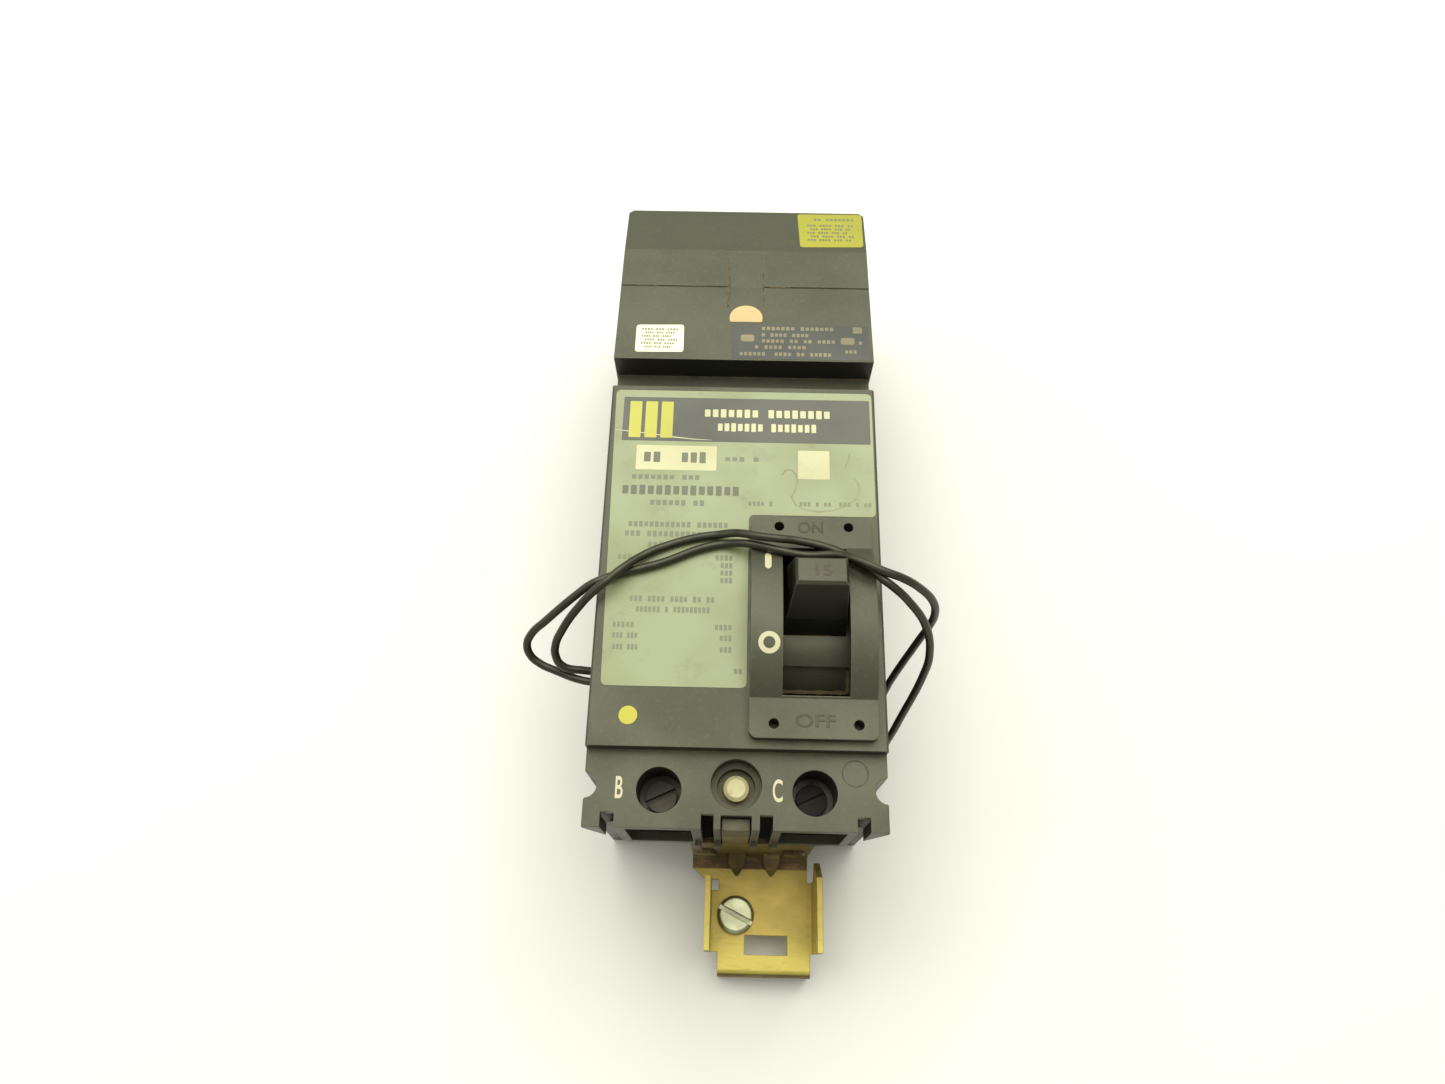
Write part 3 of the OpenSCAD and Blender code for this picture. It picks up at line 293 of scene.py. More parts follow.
CASE = rgb(0.054, 0.056, 0.037)
BLOCK = rgb(0.062, 0.065, 0.041)
FINISHES = {
    "case_plastic": moulded("case_plastic", rgb(0.022, 0.022, 0.017), CASE),
    "line_block_plastic": moulded("line_block_plastic", rgb(0.014, 0.014, 0.011), BLOCK, dirt=0.4),
    "handle_plastic": moulded("handle_plastic", rgb(0.003, 0.003, 0.002), rgb(0.046, 0.048, 0.031),
                              0.38, grain=0.2),
    "shield_plastic": moulded("shield_plastic", rgb(0.012, 0.011, 0.008), rgb(0.031, 0.031, 0.019),
                              dirt=1.0),
    "phenolic": moulded("phenolic", rgb(0.12, 0.035, 0.02), rgb(0.16, 0.06, 0.035)),
    "copper": metal("copper", rgb(0.72, 0.40, 0.22), rgb(0.48, 0.24, 0.12), 0.35, (1, 30, 1)),
    "contact_silver": metal("contact_silver", rgb(0.80, 0.79, 0.74), rgb(0.55, 0.53, 0.48), 0.3),
    "plate_steel": metal("plate_steel", rgb(0.50, 0.50, 0.46), rgb(0.34, 0.33, 0.28), 0.42, (1, 24, 1)),
    "spring_steel": metal("spring_steel", rgb(0.56, 0.56, 0.52), rgb(0.36, 0.35, 0.31), 0.34),
    "screw_steel": metal("screw_steel", rgb(0.50, 0.52, 0.33), rgb(0.34, 0.35, 0.22), 0.38, (1, 1, 6)),
    "lug_screw_steel": metal("lug_screw_steel", rgb(0.085, 0.078, 0.05), rgb(0.045, 0.04, 0.026),
                             0.55, metallic=0.5),
    # near-black finish: painted shade for lug screw C down in its deeper well
    "well_shaded_steel": metal("well_shaded_steel", rgb(0.012, 0.011, 0.008), rgb(0.007, 0.006, 0.004),
                         0.6, metallic=0.4),
    "lug_metal": metal("lug_metal", rgb(0.12, 0.115, 0.09), rgb(0.06, 0.055, 0.04), 0.55, metallic=0.6),
    "fibre": moulded("fibre", rgb(0.42, 0.33, 0.18), rgb(0.48, 0.40, 0.24), 0.7),
    "bimetal_strip": metal("bimetal_strip", rgb(0.58, 0.48, 0.30), rgb(0.40, 0.32, 0.2), 0.36, (30, 1, 1)),
    "adjuster_brass": metal("adjuster_brass", rgb(0.70, 0.52, 0.22), rgb(0.45, 0.32, 0.12), 0.3),
    "coil_tape": tape_finish(),
    "rubber_bush": moulded("rubber_bush", rgb(0.015, 0.015, 0.013), rgb(0.04, 0.04, 0.032), 0.7),
    "lead_insulation": lead_finish(),
    "rivet_cap": rivet_finish(),
    "zinc_yellow": bracket_finish(),
}


def finish_nodes():
    for part in frame["record"]["subparts"]:
        node = NODES[part["node"]]
        for material_slot in node.material_slots:
            material_slot.material = FINISHES[part["material_slot"]]
    # lug screw C gets the near-black finish as painted shade of its deeper well
    for material_slot in NODES["lug_screw_c"].material_slots:
        material_slot.material = FINISHES["well_shaded_steel"]


finish_nodes()


# ---------- leads ----------

# the same routes as the CAD tubes, in millimetres
LEAD_R = 1.1
LEAD_1 = [
    (-37.5, -40.5, 60), (-41.5, -40.1, 59.7), (-50, -37.2, 59.4), (-54, -35.6, 60.2),
    (-56.4, -33.8, 61.8), (-57.1, -31.6, 64), (-55.6, -29.4, 66.8), (-51.5, -26.8, 70.2),
    (-42.5, -21.2, 76.4), (-38.6, -19, 78.4), (-34, -16.9, 78.5), (-21, -12.8, 78.3),
    (-9, -7.9, 78.3), (-3.5, -7, 78.7), (0.5, -7.7, 80.9), (3.8, -8.4, 81.7), (10, -10.2, 82.6),
    (16.5, -11.5, 82.8), (26, -12.3, 85.1), (29.2, -14, 86.9), (32.6, -15.9, 87.9),
    (36.5, -17.7, 88), (41.5, -18.8, 86.2), (46.3, -19.8, 82.2), (50.6, -21, 76.3),
    (52.4, -22.1, 70), (52.2, -23.3, 63), (50.5, -25.2, 56), (45.2, -31.7, 37), (43.5, -34.5, 25),
    (42.6, -34, 13), (42, -29, 5), (41.6, -21, 1.8), (41.3, -13, 1.3), (41, 20, 1.3),
    (41, 104, 1.3), (40, 113, 1.3), (35, 117, 1.3), (27, 118, 1.3), (-38, 118, 1.3),
]
LEAD_2 = [
    (-37.5, -37.5, 60), (-41.5, -37.5, 60.7), (-47.4, -36.8, 62.6), (-49, -34.6, 64.6),
    (-48.8, -32.4, 67.2), (-47, -29.8, 70.6), (-41.2, -24.5, 77.7), (-37.9, -22, 80.4),
    (-34, -18.8, 81.5), (-31, -15.8, 81.1), (-25, -10.4, 78.7), (-21, -8.3, 78.3),
    (-11.5, -5.2, 78.3), (-6, -4.5, 78.8), (-2, -4.8, 80.8), (1.2, -5.9, 83), (4.5, -7, 84.1),
    (9.8, -7.7, 84.4), (14.5, -7.7, 83.4), (24.3, -9.8, 82.7), (28.8, -12.6, 83.7),
    (33.2, -15.9, 85), (36.5, -19.2, 86.1), (39.5, -21.2, 85.2), (43, -23, 82), (49.2, -27.2, 73),
    (51.6, -32.1, 63), (51.2, -35, 56.5), (47.2, -43.3, 38), (45.4, -46.8, 26), (44.8, -47, 14),
    (44.6, -42, 5), (44.5, -34, 1.8), (44.4, -26, 1.3), (44, 10, 1.3), (44, 106, 1.3),
    (42.5, 115.5, 1.3), (36, 120.4, 1.3), (28, 121, 1.3), (-28, 121, 1.3),
]


def make_lead(name, node, route):
    curve = bpy.data.curves.new(name, "CURVE")
    curve.dimensions = "3D"
    curve.bevel_depth = LEAD_R * MM
    curve.bevel_resolution = 5
    curve.resolution_u = 8
    curve.use_fill_caps = True
    spline = curve.splines.new("BEZIER")
    spline.bezier_points.add(len(route) - 1)
    for knot, point in zip(spline.bezier_points, route):
        knot.co = Vector(point) * MM
        knot.handle_left_type = "AUTO"
        knot.handle_right_type = "AUTO"
    lead = bpy.data.objects.new(name, curve)
    bpy.context.scene.collection.objects.link(lead)
    lead.data.materials.append(FINISHES["lead_insulation"])
    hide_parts(node)
    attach(lead, "case")


make_lead("lead_1_cord", "lead_1", LEAD_1)
make_lead("lead_2_cord", "lead_2", LEAD_2)


# ---------- thin pieces on the faces ----------

cover_low, cover_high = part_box("case_cover")
handle_joint = next(j for j in frame["joints"] if j["name"] == "handle_pivot")
PIVOT = Vector(handle_joint["pos_m"]) / MM

FACE_Z = 77.0
SHELF_Z = 73.0
SURROUND_Z = 80.0
CHEEK_R = 40.5
HANDLE_R = 46.5
HANDLE_LEAN = 12.5
HANDLE_OFFSET = 1.1
# how far a slab's underside sinks into the surface that it lies on
SINK = 0.03
PRINT_THICK = 0.02
TRAY_R = 26.4
TRAY_HALF_W = 9.2
BLOCK_PROFILE = [(50.5, 79.0), (79.0, 75.5), (94.0, 73.8), (113.0, 69.5)]


def on_face(x, y):
    return FACE_Z


def on_shelf(x, y):
    return SHELF_Z


def on_cheek(x, y):
    return PIVOT.z + math.sqrt(CHEEK_R**2 - (y - PIVOT.y) ** 2)


def on_tray(x, y):
    return PIVOT.z + math.sqrt(TRAY_R**2 - (y - PIVOT.y) ** 2)


def on_block(x, y):
    for (y0, z0), (y1, z1) in zip(BLOCK_PROFILE, BLOCK_PROFILE[1:]):
        if y <= y1:
            return z0 + (z1 - z0) * (y - y0) / (y1 - y0)
    return BLOCK_PROFILE[-1][1]


def face_point(u, v):
    """A point on the cover, u across from its left edge and v down from its line edge, in mm."""
    return (cover_low.x / MM + u, cover_high.y / MM - v)


def rounded(corners, radius, steps=5):
    """The outline with each corner turned into an arc."""
    out = []
    count = len(corners)
    for i, corner in enumerate(corners):
        here = Vector(corner)
        back = (Vector(corners[i - 1]) - here).normalized()
        ahead = (Vector(corners[(i + 1) % count]) - here).normalized()
        for k in range(steps + 1):
            t = k / steps
            start = here + back * radius
            end = here + ahead * radius
            out.append((1 - t) ** 2 * start + 2 * t * (1 - t) * here + t**2 * end)
    return out


def box_outline(x0, x1, y0, y1, radius=0.4):
    return rounded([(x0, y0), (x1, y0), (x1, y1), (x0, y1)], radius)


def disc_outline(x, y, radius, count=40):
    turns = [2 * math.pi * k / count for k in range(count)]
    return [Vector((x + radius * math.cos(a), y + radius * math.sin(a))) for a in turns]


def add_slab(mesh, outline, surface, lift, thick):
    """A thin closed slab on a surface, with its top edge eased."""
    rows = []
    centre = sum((Vector(p) for p in outline), Vector((0, 0))) / len(outline)
    for inset, height in ((0.0, lift - SINK), (0.0, lift + thick * 0.6), (thick * 0.4, lift + thick)):
        row = []
        for point in outline:
            point = Vector(point)
            inward = centre - point
            if inward.length > inset:
                point = point + inward.normalized() * inset
            z = surface(point.x, point.y) + height
            row.append(mesh.verts.new(Vector((point.x, point.y, z)) * MM))
        rows.append(row)
    count = len(outline)
    for low, high in zip(rows, rows[1:]):
        for i in range(count):
            j = (i + 1) % count
            mesh.faces.new((low[i], low[j], high[j], high[i]))
    mesh.faces.new(rows[-1])
    mesh.faces.new(rows[0][::-1])


def add_ring(mesh, x, y, outer, inner, surface, lift, thick, count=48):
    rows = []
    low, high = lift - SINK, lift + thick
    for radius, height in ((inner, low), (outer, low), (outer, high), (inner, high)):
        row = []
        for p in disc_outline(x, y, radius, count):
            row.append(mesh.verts.new(Vector((p.x, p.y, surface(p.x, p.y) + height)) * MM))
        rows.append(row)
    for k in range(4):
        a, b = rows[k], rows[(k + 1) % 4]
        for i in range(count):
            j = (i + 1) % count
            mesh.faces.new((a[i], b[i], b[j], a[j]))


def add_strip(mesh, centres, widths, surface, lift, thick):
    """A ribbon that follows a line of points, with a width at each."""
    rows = []
    for i, centre in enumerate(centres):
        ahead = Vector(centres[min(i + 1, len(centres) - 1)]) - Vector(centres[max(i - 1, 0)])
        side = Vector((-ahead.y, ahead.x)).normalized() * widths[i] / 2
        corners = [Vector(centre) - side, Vector(centre) + side]
        row = []
        for p, height in ((corners[0], lift - SINK), (corners[1], lift - SINK),
                          (corners[1], lift + thick), (corners[0], lift + thick)):
            row.append(mesh.verts.new(Vector((p.x, p.y, surface(p.x, p.y) + height)) * MM))
        rows.append(row)
    for a, b in zip(rows, rows[1:]):
        for i in range(4):
            j = (i + 1) % 4
            mesh.faces.new((a[i], a[j], b[j], b[i]))
    mesh.faces.new(rows[0][::-1])
    mesh.faces.new(rows[-1])


def make_piece(name, mesh, material, body="case"):
    bmesh.ops.recalc_face_normals(mesh, faces=mesh.faces)
    data = bpy.data.meshes.new(name)
    mesh.to_mesh(data)
    mesh.free()
    data.materials.append(material)
    piece = bpy.data.objects.new(name, data)
    bpy.context.scene.collection.objects.link(piece)
    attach(piece, body)
    return piece


def make_slab(name, outline, surface, lift, thick, material):
    mesh = bmesh.new()
    add_slab(mesh, outline, surface, lift, thick)
    return make_piece(name, mesh, material)


def print_row(mesh, x0, x1, y, height, pattern, surface, lift):
    """A row of plain blocks that stands for a line of print: # is a block, . a gap."""
    pitch = (x1 - x0) / len(pattern)
    for i, mark in enumerate(pattern):
        if mark == "#":
            left = x0 + i * pitch
            tall = height * (0.86 + 0.14 * ((i * 7) % 3) / 2)
            radius = min(pitch, height) * 0.12
            outline = box_outline(left, left + pitch * 0.7, y - tall / 2, y + tall / 2, radius)
            add_slab(mesh, outline, surface, lift, PRINT_THICK)


def make_letters(name, text, size, place, widen, thick, material, body="case"):
    """Moulded characters, built as a mesh in the row frame. place is a matrix in millimetres."""
    font = bpy.data.curves.new(name, "FONT")
    font.body = text
    font.size = size
    font.align_x = "CENTER"
    font.align_y = "CENTER"
    font.extrude = thick / 2
    font.bevel_depth = thick * 0.15
    font.offset = size * 0.012
    holder = bpy.data.objects.new(name + "_font", font)
    bpy.context.scene.collection.objects.link(holder)
    bpy.context.view_layer.update()
    data = bpy.data.meshes.new_from_object(holder.evaluated_get(bpy.context.evaluated_depsgraph_get()))
    bpy.data.objects.remove(holder)
    data.transform(Matrix.Scale(MM, 4) @ place @ Matrix.Diagonal((widen, 1, 1, 1)))
    data.materials.clear()
    data.materials.append(material)
    piece = bpy.data.objects.new(name, data)
    bpy.context.scene.collection.objects.link(piece)
    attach(piece, body)
    return piece


# ---------- finishes of labels and marks ----------


def paper(name, color, worn, stain, stain_amount=0.35, roughness=0.42, scale=90.0):
    """A printed film: soft tone changes, brown smudges and a slight ripple."""
    made = Shader(name)
    fade = made.band(made.noise(34, 4), 0.35, 0.7)
    smudge = made.band(made.noise(scale, 6, 0.65), 0.56, 0.78)
    tone = made.mix(fade, color, worn)
    tone = made.mix(made.math("MULTIPLY", smudge, stain_amount), tone, stain)
    made.set(Base_Color=tone)
    made.set(Roughness=made.math("ADD", made.math("MULTIPLY", fade, 0.12), roughness))
    made.bump(made.noise(120, 3), 0.15, 0.0001)
    return made.material


def label_finish():
    """Sage film, yellower towards the load end, with brown smudges."""
    made = Shader("label_film")
    down = made.band(made.axis(made.place, "Y"), 0.03, -0.045)
    fade = made.band(made.noise(40, 4), 0.35, 0.7)
    tone = made.mix(down, rgb(0.285, 0.33, 0.163), rgb(0.268, 0.31, 0.144))
    tone = made.mix(made.math("MULTIPLY", fade, 0.5), tone, rgb(0.225, 0.25, 0.115))
    smudge = made.band(made.noise(120, 7, 0.7), 0.53, 0.74)
    tone = made.mix(made.math("MULTIPLY", smudge, 0.5), tone, rgb(0.19, 0.18, 0.085))
    spot = made.band(made.noise(520, 3, 0.6), 0.66, 0.74)
    tone = made.mix(made.math("MULTIPLY", spot, 0.35), tone, rgb(0.22, 0.18, 0.08))
    made.set(Base_Color=tone)
    made.set(Roughness=made.math("ADD", made.math("MULTIPLY", fade, 0.14), 0.36))
    made.bump(made.noise(150, 3), 0.12, 0.0001)
    return made.material


SAGE = label_finish()
HEADER = paper("header_ink", rgb(0.078, 0.079, 0.054), rgb(0.064, 0.065, 0.045), rgb(0.14, 0.12, 0.06), 0.2)
CREAM = paper("cream_ink", rgb(0.56, 0.55, 0.30), rgb(0.50, 0.49, 0.26), rgb(0.38, 0.33, 0.16))
FADED_INK = paper("faded_ink", rgb(0.15, 0.165, 0.085), rgb(0.20, 0.22, 0.11),
                  rgb(0.15, 0.13, 0.06), 0.5, scale=200.0)
STRONG_INK = paper("strong_ink", rgb(0.105, 0.11, 0.06), rgb(0.17, 0.18, 0.095),
                   rgb(0.10, 0.09, 0.04), 0.5, scale=300.0)
GOLD_INK = paper("gold_ink", rgb(0.26, 0.23, 0.12), rgb(0.18, 0.16, 0.09),
                 rgb(0.13, 0.11, 0.06), 0.5, scale=200.0)
YELLOW = paper("yellow_film", rgb(0.37, 0.36, 0.03), rgb(0.32, 0.31, 0.03), rgb(0.24, 0.20, 0.04), 0.4)
BAR_YELLOW = paper("bar_yellow", rgb(0.48, 0.47, 0.05), rgb(0.42, 0.41, 0.05), rgb(0.32, 0.27, 0.05), 0.4)
DOT_YELLOW = paper("dot_yellow", rgb(0.54, 0.50, 0.03), rgb(0.48, 0.44, 0.035), rgb(0.36, 0.28, 0.05))
IVORY = paper("ivory_paint", rgb(0.58, 0.55, 0.33), rgb(0.50, 0.47, 0.28), rgb(0.30, 0.25, 0.13), 0.3)
WHITE_TAG = paper("tag_paper", rgb(0.90, 0.87, 0.62), rgb(0.82, 0.79, 0.55), rgb(0.42, 0.36, 0.19), 0.3)
PEACH = paper("peach_film", rgb(0.60, 0.46, 0.19), rgb(0.58, 0.38, 0.19), rgb(0.50, 0.33, 0.12))
STAIN = paper("brown_stain", rgb(0.20, 0.19, 0.085), rgb(0.26, 0.27, 0.125), rgb(0.14, 0.11, 0.05), 0.6)
DIRT = paper("ochre_dirt", rgb(0.13, 0.095, 0.035), rgb(0.08, 0.065, 0.03),
             rgb(0.24, 0.18, 0.07), 0.6, 0.8, 400.0)
DIGIT_DIRT = paper("digit_dirt", rgb(0.032, 0.026, 0.012), rgb(0.06, 0.046, 0.018),
                   rgb(0.10, 0.075, 0.03), 0.6)
BLOCK_PANEL = paper("panel_film", rgb(0.062, 0.067, 0.047), rgb(0.052, 0.056, 0.04),
                    rgb(0.08, 0.07, 0.04), 0.2)
RELIEF = moulded("relief_plastic", rgb(0.02, 0.02, 0.015), rgb(0.045, 0.046, 0.03), 0.5, dirt=0.0, wear_and_highlight=0.2)


# ---------- label on the cover ----------

LABEL_THICK = 0.12
INK_THICK = 0.03
LABEL_OUTLINE = [(1.3, 1.5), (74.1, 1.5), (74.1, 40.2), (39.7, 40.2), (39.7, 88.3), (2.8, 88.3)]


def rows_on_cover(name, rows, material, lift):
    mesh = bmesh.new()
    for u0, u1, v, height, pattern in rows:
        x0, y = face_point(u0, v)
        x1, _ = face_point(u1, v)
        print_row(mesh, x0, x1, y, height, pattern, on_face, lift)
    make_piece(name, mesh, material)


def cover_box(u0, u1, v0, v1, radius=0.4):
    x0, y1 = face_point(u0, v0)
    x1, y0 = face_point(u1, v1)
    return box_outline(x0, x1, y0, y1, radius)


def make_cover_label():
    outline = rounded([face_point(*p) for p in LABEL_OUTLINE], 1.6)
    make_label_sheet("cover_label", outline)
    for name, outline, ink in (
        ("label_header", cover_box(3.7, 73.4, 3.8, 17.9), HEADER),
        ("rating_panel", cover_box(8.1, 30.5, 19.3, 27.0), CREAM),
        ("check_panel", cover_box(53.1, 61.8, 20.2, 29.1), CREAM),
    ):
        make_slab(name, outline, on_face, LABEL_THICK, INK_THICK, ink)
    rows_on_cover("header_print", [
        (26.8, 62.8, 8.7, 2.7, "#######.########"),
        (30.6, 58.8, 13.2, 2.7, "#######.#######"),
    ], CREAM, LABEL_THICK + INK_THICK)
    rows_on_cover("rating_print", [
        (10.3, 15.6, 23.0, 3.5, "##"),
        (20.8, 28.2, 23.0, 3.5, "###"),
    ], STRONG_INK, LABEL_THICK + INK_THICK)
    rows_on_cover("label_print_strong", [
        (4.9, 37.5, 33.2, 3.0, "##############"),
    ], STRONG_INK, LABEL_THICK)
    rows_on_cover("label_print", [
        (32.9, 42.7, 23.3, 1.4, "###.#"),
        (54.8, 60.2, 24.9, 1.0, "####"),
        (7.3, 26.4, 29.2, 1.5, "#######.###"),
        (12.7, 27.9, 37.0, 1.7, "######.##"),
        (39.5, 46.4, 36.8, 1.4, "####.#"),
        (53.4, 62.3, 36.7, 1.4, "###.#.##"),
        (64.2, 73.3, 36.6, 1.4, "###.#.##"),
        (7.2, 34.4, 43.5, 1.7, "############.######"),
        (6.4, 33.4, 46.3, 1.7, "###.##########.###"),
        (12.7, 21.8, 49.5, 1.7, "######"),
        (4.9, 8.9, 53.1, 1.6, "###"),
        (31.0, 35.8, 53.0, 1.6, "####"),
        (32.4, 35.8, 55.2, 1.6, "###"),
        (32.4, 35.8, 57.3, 1.6, "###"),
        (32.4, 35.8, 59.4, 1.6, "###"),
        (8.8, 31.3, 64.9, 1.7, "###.####.####.##.##"),
        (10.6, 30.1, 67.8, 1.7, "######.#.#########"),
        (4.8, 10.6, 72.1, 1.6, "#####"),
        (4.9, 11.6, 75.0, 1.6, "###.###"),
        (5.1, 11.8, 78.1, 1.6, "###.###"),
        (31.3, 35.9, 72.4, 1.6, "####"),
        (32.6, 36.0, 75.3, 1.6, "###"),
        (32.7, 36.0, 78.4, 1.6, "###"),
        (36.4, 38.8, 84.0, 1.5, "##"),
    ], FADED_INK, LABEL_THICK)


def make_label_sheet(name, outline):
    """The printed film, a thin slab laid on the cover face in the given outline."""
    mesh = bmesh.new()
    rows = []
    for height in (-SINK, LABEL_THICK * 0.7, LABEL_THICK):
        rows.append([mesh.verts.new(Vector((p.x, p.y, FACE_Z + height)) * MM) for p in outline])
    count = len(outline)
    for low, high in zip(rows, rows[1:]):
        for i in range(count):
            j = (i + 1) % count
            mesh.faces.new((low[i], low[j], high[j], high[i]))
    bmesh.ops.triangulate(mesh, faces=[mesh.faces.new(rows[-1]), mesh.faces.new(rows[0][::-1])])
    make_piece(name, mesh, SAGE)


def make_corner_mark():
    """Three plain yellow bars in the header's corner."""
    mesh = bmesh.new()
    left, top = face_point(5.0, 5.2)
    right, bottom = face_point(18.4, 16.9)
    pitch = (right - left) / 3
    for k in range(3):
        x0 = left + k * pitch + pitch * 0.12
        outline = box_outline(x0, x0 + pitch * 0.76, bottom, top, 0.3)
        add_slab(mesh, outline, on_face, LABEL_THICK + INK_THICK, INK_THICK)
    make_piece("corner_mark", mesh, BAR_YELLOW)


def make_stains():
    lines = [
        [(48.6, 28.0), (49.6, 26.4), (51.2, 26.3), (52.4, 27.6), (52.9, 29.8), (52.3, 32.4), (51.2, 34.6)],
        [(51.2, 34.6), (52.4, 37.0), (55.0, 38.4), (58.4, 38.9), (62.6, 38.4), (66.2, 37.0), (68.8, 35.0)],
        [(68.8, 35.0), (69.8, 32.6), (69.6, 30.2), (68.4, 28.4)],
        [(67.5, 21.0), (66.9, 23.2), (66.0, 25.4)],
    ]
    mesh = bmesh.new()
    for line in lines:
        widths = [0.25 + 0.35 * (0.5 + 0.5 * math.sin(2.3 * i + len(line))) for i in range(len(line))]
        add_strip(mesh, [face_point(*p) for p in line], widths, on_face, LABEL_THICK, 0.012)
    make_piece("label_stains", mesh, STAIN)
    mesh = bmesh.new()
    scratch = [(1.6, 14.6), (6.0, 15.0), (12.0, 15.7), (18.0, 16.6), (24.0, 17.2), (29.0, 17.4)]
    widths = [0.12, 0.3, 0.2, 0.35, 0.25, 0.1]
    add_strip(mesh, [face_point(*p) for p in scratch], widths, on_face, LABEL_THICK + 0.04, 0.012)
    make_piece("header_scratch", mesh, IVORY)


make_cover_label()
make_corner_mark()
make_stains()
make_slab("yellow_dot", disc_outline(-27.3, -53.3, 2.35), on_face, 0.0, 0.12, DOT_YELLOW)


# ---------- marks round the handle ----------


def make_cheek_marks():
    mesh = bmesh.new()
    steps = 10
    centres = [(7.3, -10.6 - 5.1 * k / steps) for k in range(steps + 1)]
    widths = [1.7 * math.sqrt(max(0.12, 1 - (2 * k / steps - 1) ** 8)) for k in range(steps + 1)]
    add_strip(mesh, centres, widths, on_cheek, 0.0, 0.08)
    add_ring(mesh, 7.6, -36.0, 2.75, 1.5, on_cheek, 0.0, 0.08)
    make_piece("cheek_marks", mesh, IVORY)


def flat_place(x, y, z):
    return Matrix.Translation((x, y, z))


def handle_place(along):
    """On the handle's crown, along from its middle towards the line end."""
    lean = Matrix.Rotation(math.radians(-HANDLE_LEAN), 4, "X")
    return Matrix.Translation(PIVOT) @ lean @ Matrix.Translation((HANDLE_OFFSET, along, HANDLE_R + 0.02))


def make_tray_dirt():
    """Ochre dust along the three sides of the tray below the handle."""
    left = PIVOT.x - TRAY_HALF_W
    right = PIVOT.x + TRAY_HALF_W
    top, bottom = -37.6, -43.7
    steps = 10
    mesh = bmesh.new()
    for x in (left, right):
        centres = [(x, top + (bottom - top) * k / steps) for k in range(steps + 1)]
        widths = [0.5 + 0.6 * (0.5 + 0.5 * math.sin(1.9 * k + x)) for k in range(steps + 1)]
        add_strip(mesh, centres, widths, on_tray, 0.0, 0.03)
    centres = [(left + (right - left) * k / steps, bottom) for k in range(steps + 1)]
    widths = [0.5 + 0.5 * (0.5 + 0.5 * math.sin(2.3 * k)) for k in range(steps + 1)]
    add_strip(mesh, centres, widths, on_tray, 0.0, 0.03)
    make_piece("tray_dirt", mesh, DIRT, "handle")


make_cheek_marks()
make_tray_dirt()
make_letters("on_mark", "ON", 4.4, flat_place(18.6, -2.6, SURROUND_Z), 1.0, 0.1, RELIEF)
make_letters("off_mark", "OFF", 4.6, flat_place(19.2, -54.6, SURROUND_Z), 1.25, 0.1, RELIEF)
make_letters("rating_mark", "15", 4.6, handle_place(-0.3), 1.15, 0.1, DIGIT_DIRT, "handle")


# ---------- load-end shelf ----------

make_letters("pole_mark_b", "B", 7.6, flat_place(-28.9, -70.7, SHELF_Z), 0.5, 0.1, IVORY)
make_letters("pole_mark_c", "C", 7.6, flat_place(10.3, -70.7, SHELF_Z), 0.5, 0.1, IVORY)


def make_mould_ring():
    mesh = bmesh.new()
    add_ring(mesh, 29.5, -65.8, 3.3, 3.05, on_shelf, 0.0, 0.06)
    make_piece("mould_ring", mesh, RELIEF)


make_mould_ring()


# ---------- line block ----------

TAG_THICK = 0.12
PANEL_THICK = 0.05


def make_block_tags():
    yellow = rounded([(17.0, 96.0), (36.7, 96.4), (36.9, 112.4), (16.4, 112.2)], 1.2)
    make_slab("yellow_tag", yellow, on_block, 0.0, TAG_THICK, YELLOW)
    white = rounded([(-31.6, 52.9), (-17.5, 53.1), (-17.7, 63.5), (-31.7, 63.2)], 1.0)
    make_slab("white_tag", white, on_block, 0.0, TAG_THICK, WHITE_TAG)
    mesh = bmesh.new()
    for row in range(6):
        y = 61.6 - row * 1.35
        print_row(mesh, -30.0 + row % 2, -19.2 - row % 3, y, 0.8, "####.###.####", on_block, TAG_THICK)
    make_piece("white_tag_print", mesh, FADED_INK)
    mesh = bmesh.new()
    print_row(mesh, 21.6, 34.6, 109.6, 1.2, "##.#######", on_block, TAG_THICK)
    for row in range(5):
        y = 106.6 - row * 1.75
        print_row(mesh, 19.4 + row % 2, 34.2 - row % 3, y, 1.0, "###.####.###.##", on_block, TAG_THICK)
    make_piece("yellow_tag_print", mesh, FADED_INK)


def make_block_print():
    dark = box_outline(-3.6, 36.4, 51.0, 64.2, 0.5)
    make_slab("block_panel", dark, on_block, 0.0, PANEL_THICK, BLOCK_PANEL)
    mesh = bmesh.new()
    rows = [
        (5.2, 26.6, 62.6, 1.4, "#######.#######"),
        (5.2, 19.2, 60.1, 1.4, "#.####.####"),
        (5.2, 26.9, 57.8, 1.4, "#####.##.##.####"),
        (3.2, 18.3, 55.5, 1.4, "#.####.####"),
        (-1.2, 6.5, 52.9, 1.4, "######"),
        (8.9, 25.6, 52.9, 1.4, "####.##.#####"),
        (29.4, 33.0, 54.2, 1.3, "###"),
        (33.4, 34.8, 57.6, 1.3, "#"),
    ]
    for x0, x1, y, height, pattern in rows:
        print_row(mesh, x0, x1, y, height, pattern, on_block, PANEL_THICK)
    add_slab(mesh, box_outline(31.9, 34.6, 61.2, 63.6, 0.3), on_block, PANEL_THICK, PRINT_THICK)
    for x, y in ((1.0, 58.8), (30.2, 58.2)):
        add_slab(mesh, box_outline(x - 2.0, x + 2.0, y - 1.3, y + 1.3, 0.9), on_block,
                 PANEL_THICK, PRINT_THICK)
    make_piece("block_print", mesh, GOLD_INK)


def make_half_moon():
    outline = []
    for k in range(25):
        angle = math.radians(-18 + 216 * k / 24)
        outline.append(Vector((0.5 + 4.9 * math.cos(angle), 66.5 + 4.9 * math.sin(angle))))
    make_slab("half_moon", outline, on_block, 0.0, 0.1, PEACH)


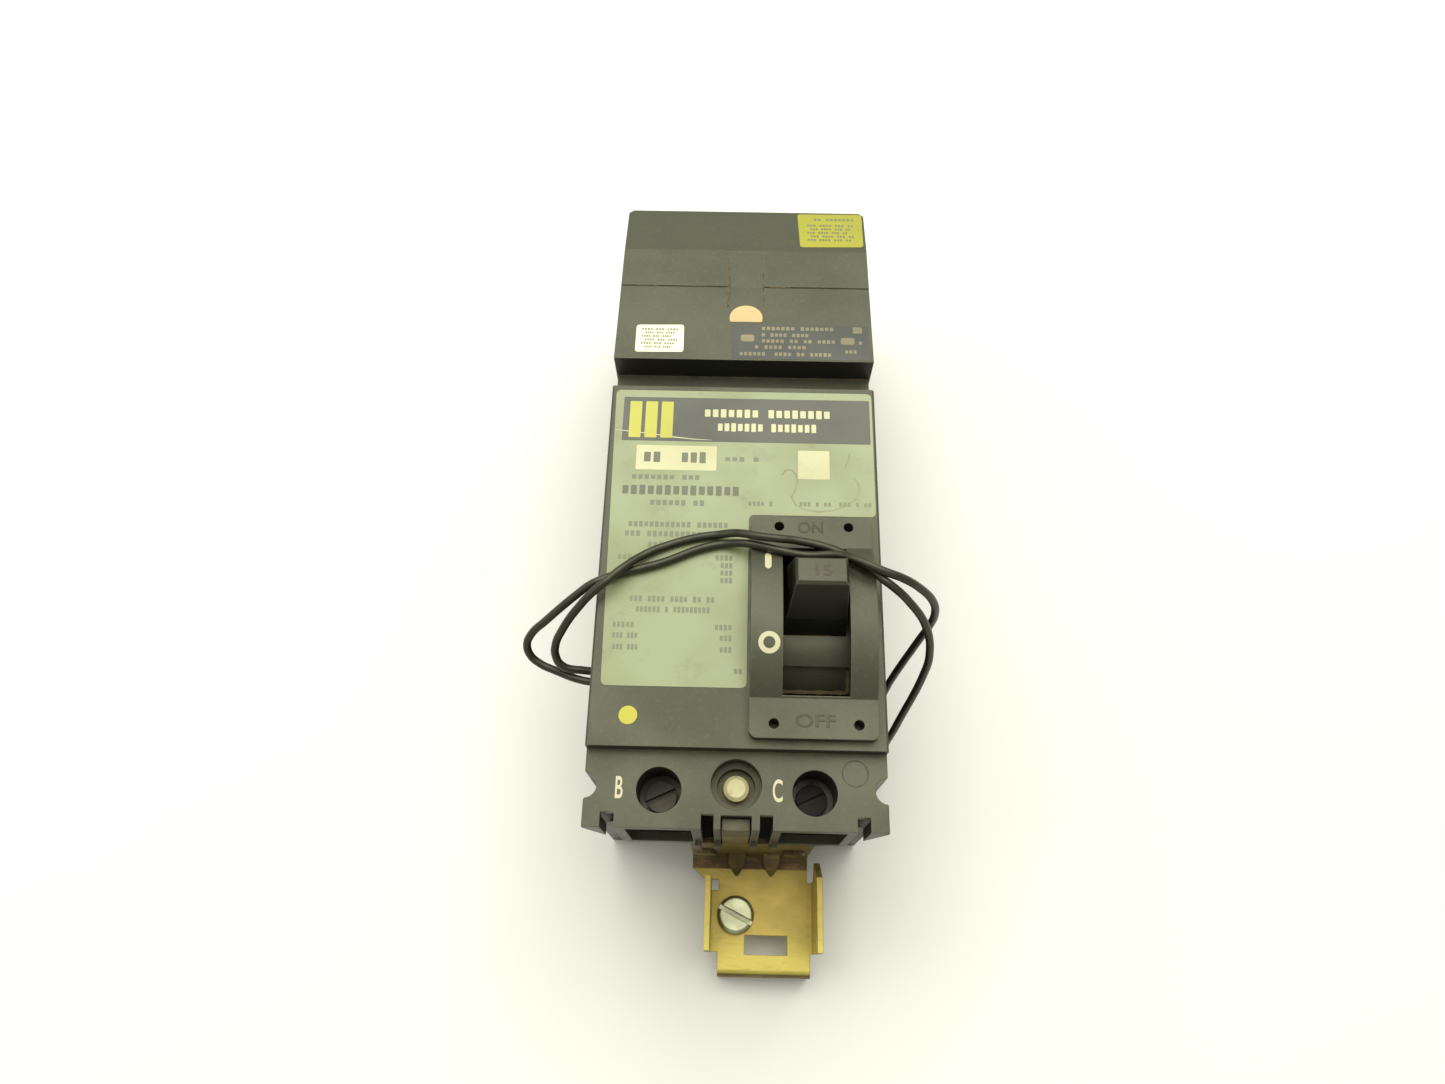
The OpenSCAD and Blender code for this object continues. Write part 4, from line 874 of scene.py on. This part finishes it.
def make_groove_dirt():
    mesh = bmesh.new()
    for x, start, end in ((-5.0, 71.5, 88.0), (5.9, 70.5, 93.5)):
        count = 16
        centres = [(x + 0.12 * math.sin(1.7 * k), start + (end - start) * k / count)
                   for k in range(count + 1)]
        widths = [0.18 + 0.4 * (0.5 + 0.5 * math.sin(2.1 * k + x)) ** 2 for k in range(count + 1)]
        add_strip(mesh, centres, widths, on_block, 0.0, 0.04)
    for x0, x1 in ((-32.5, -26.0), (-17.0, -11.5), (7.5, 13.5)):
        count = 10
        centres = [(x0 + (x1 - x0) * k / count, 79.0) for k in range(count + 1)]
        widths = [0.08 + 0.28 * (0.5 + 0.5 * math.sin(1.9 * k + x0)) for k in range(count + 1)]
        add_strip(mesh, centres, widths, on_block, 0.0, 0.03)
    make_piece("block_dirt", mesh, DIRT)


make_block_tags()
make_block_print()
make_half_moon()
make_groove_dirt()


# ---------- floor and light ----------


def make_floor():
    mesh = bmesh.new()
    bmesh.ops.create_grid(mesh, x_segments=8, y_segments=8, size=3.0)
    data = bpy.data.meshes.new("floor")
    mesh.to_mesh(data)
    mesh.free()
    made = Shader("floor_paper", Roughness=0.9)
    soft = made.band(made.noise(3, 2), 0.3, 0.7)
    made.set(Base_Color=made.mix(soft, rgb(0.81, 0.81, 0.74), rgb(0.79, 0.79, 0.72)))
    data.materials.append(made.material)
    floor = bpy.data.objects.new("floor", data)
    bpy.context.scene.collection.objects.link(floor)


def make_light(name, place, aim, size, power, color):
    data = bpy.data.lights.new(name, "AREA")
    data.shape = "SQUARE"
    data.size = size
    data.energy = power
    data.color = color
    light = bpy.data.objects.new(name, data)
    light.location = place
    light.rotation_euler = (Vector(aim) - Vector(place)).to_track_quat("-Z", "Y").to_euler()
    bpy.context.scene.collection.objects.link(light)


def make_world():
    world = bpy.data.worlds.new("studio")
    world.use_nodes = True
    background = world.node_tree.nodes["Background"]
    background.inputs["Color"].default_value = (1.0, 0.99, 0.93, 1.0)
    background.inputs["Strength"].default_value = 0.48
    bpy.context.scene.world = world


make_floor()
make_light("overhead", (0.05, 0.55, 1.25), (0.0, 0.0, 0.0), 1.4, 24.0, (1.0, 0.99, 0.94))
make_light("left_fill", (-0.9, 0.1, 0.8), (0.0, 0.0, 0.0), 0.8, 3.0, (1.0, 0.99, 0.95))
make_world()
bpy.context.scene.view_settings.view_transform = "Standard"
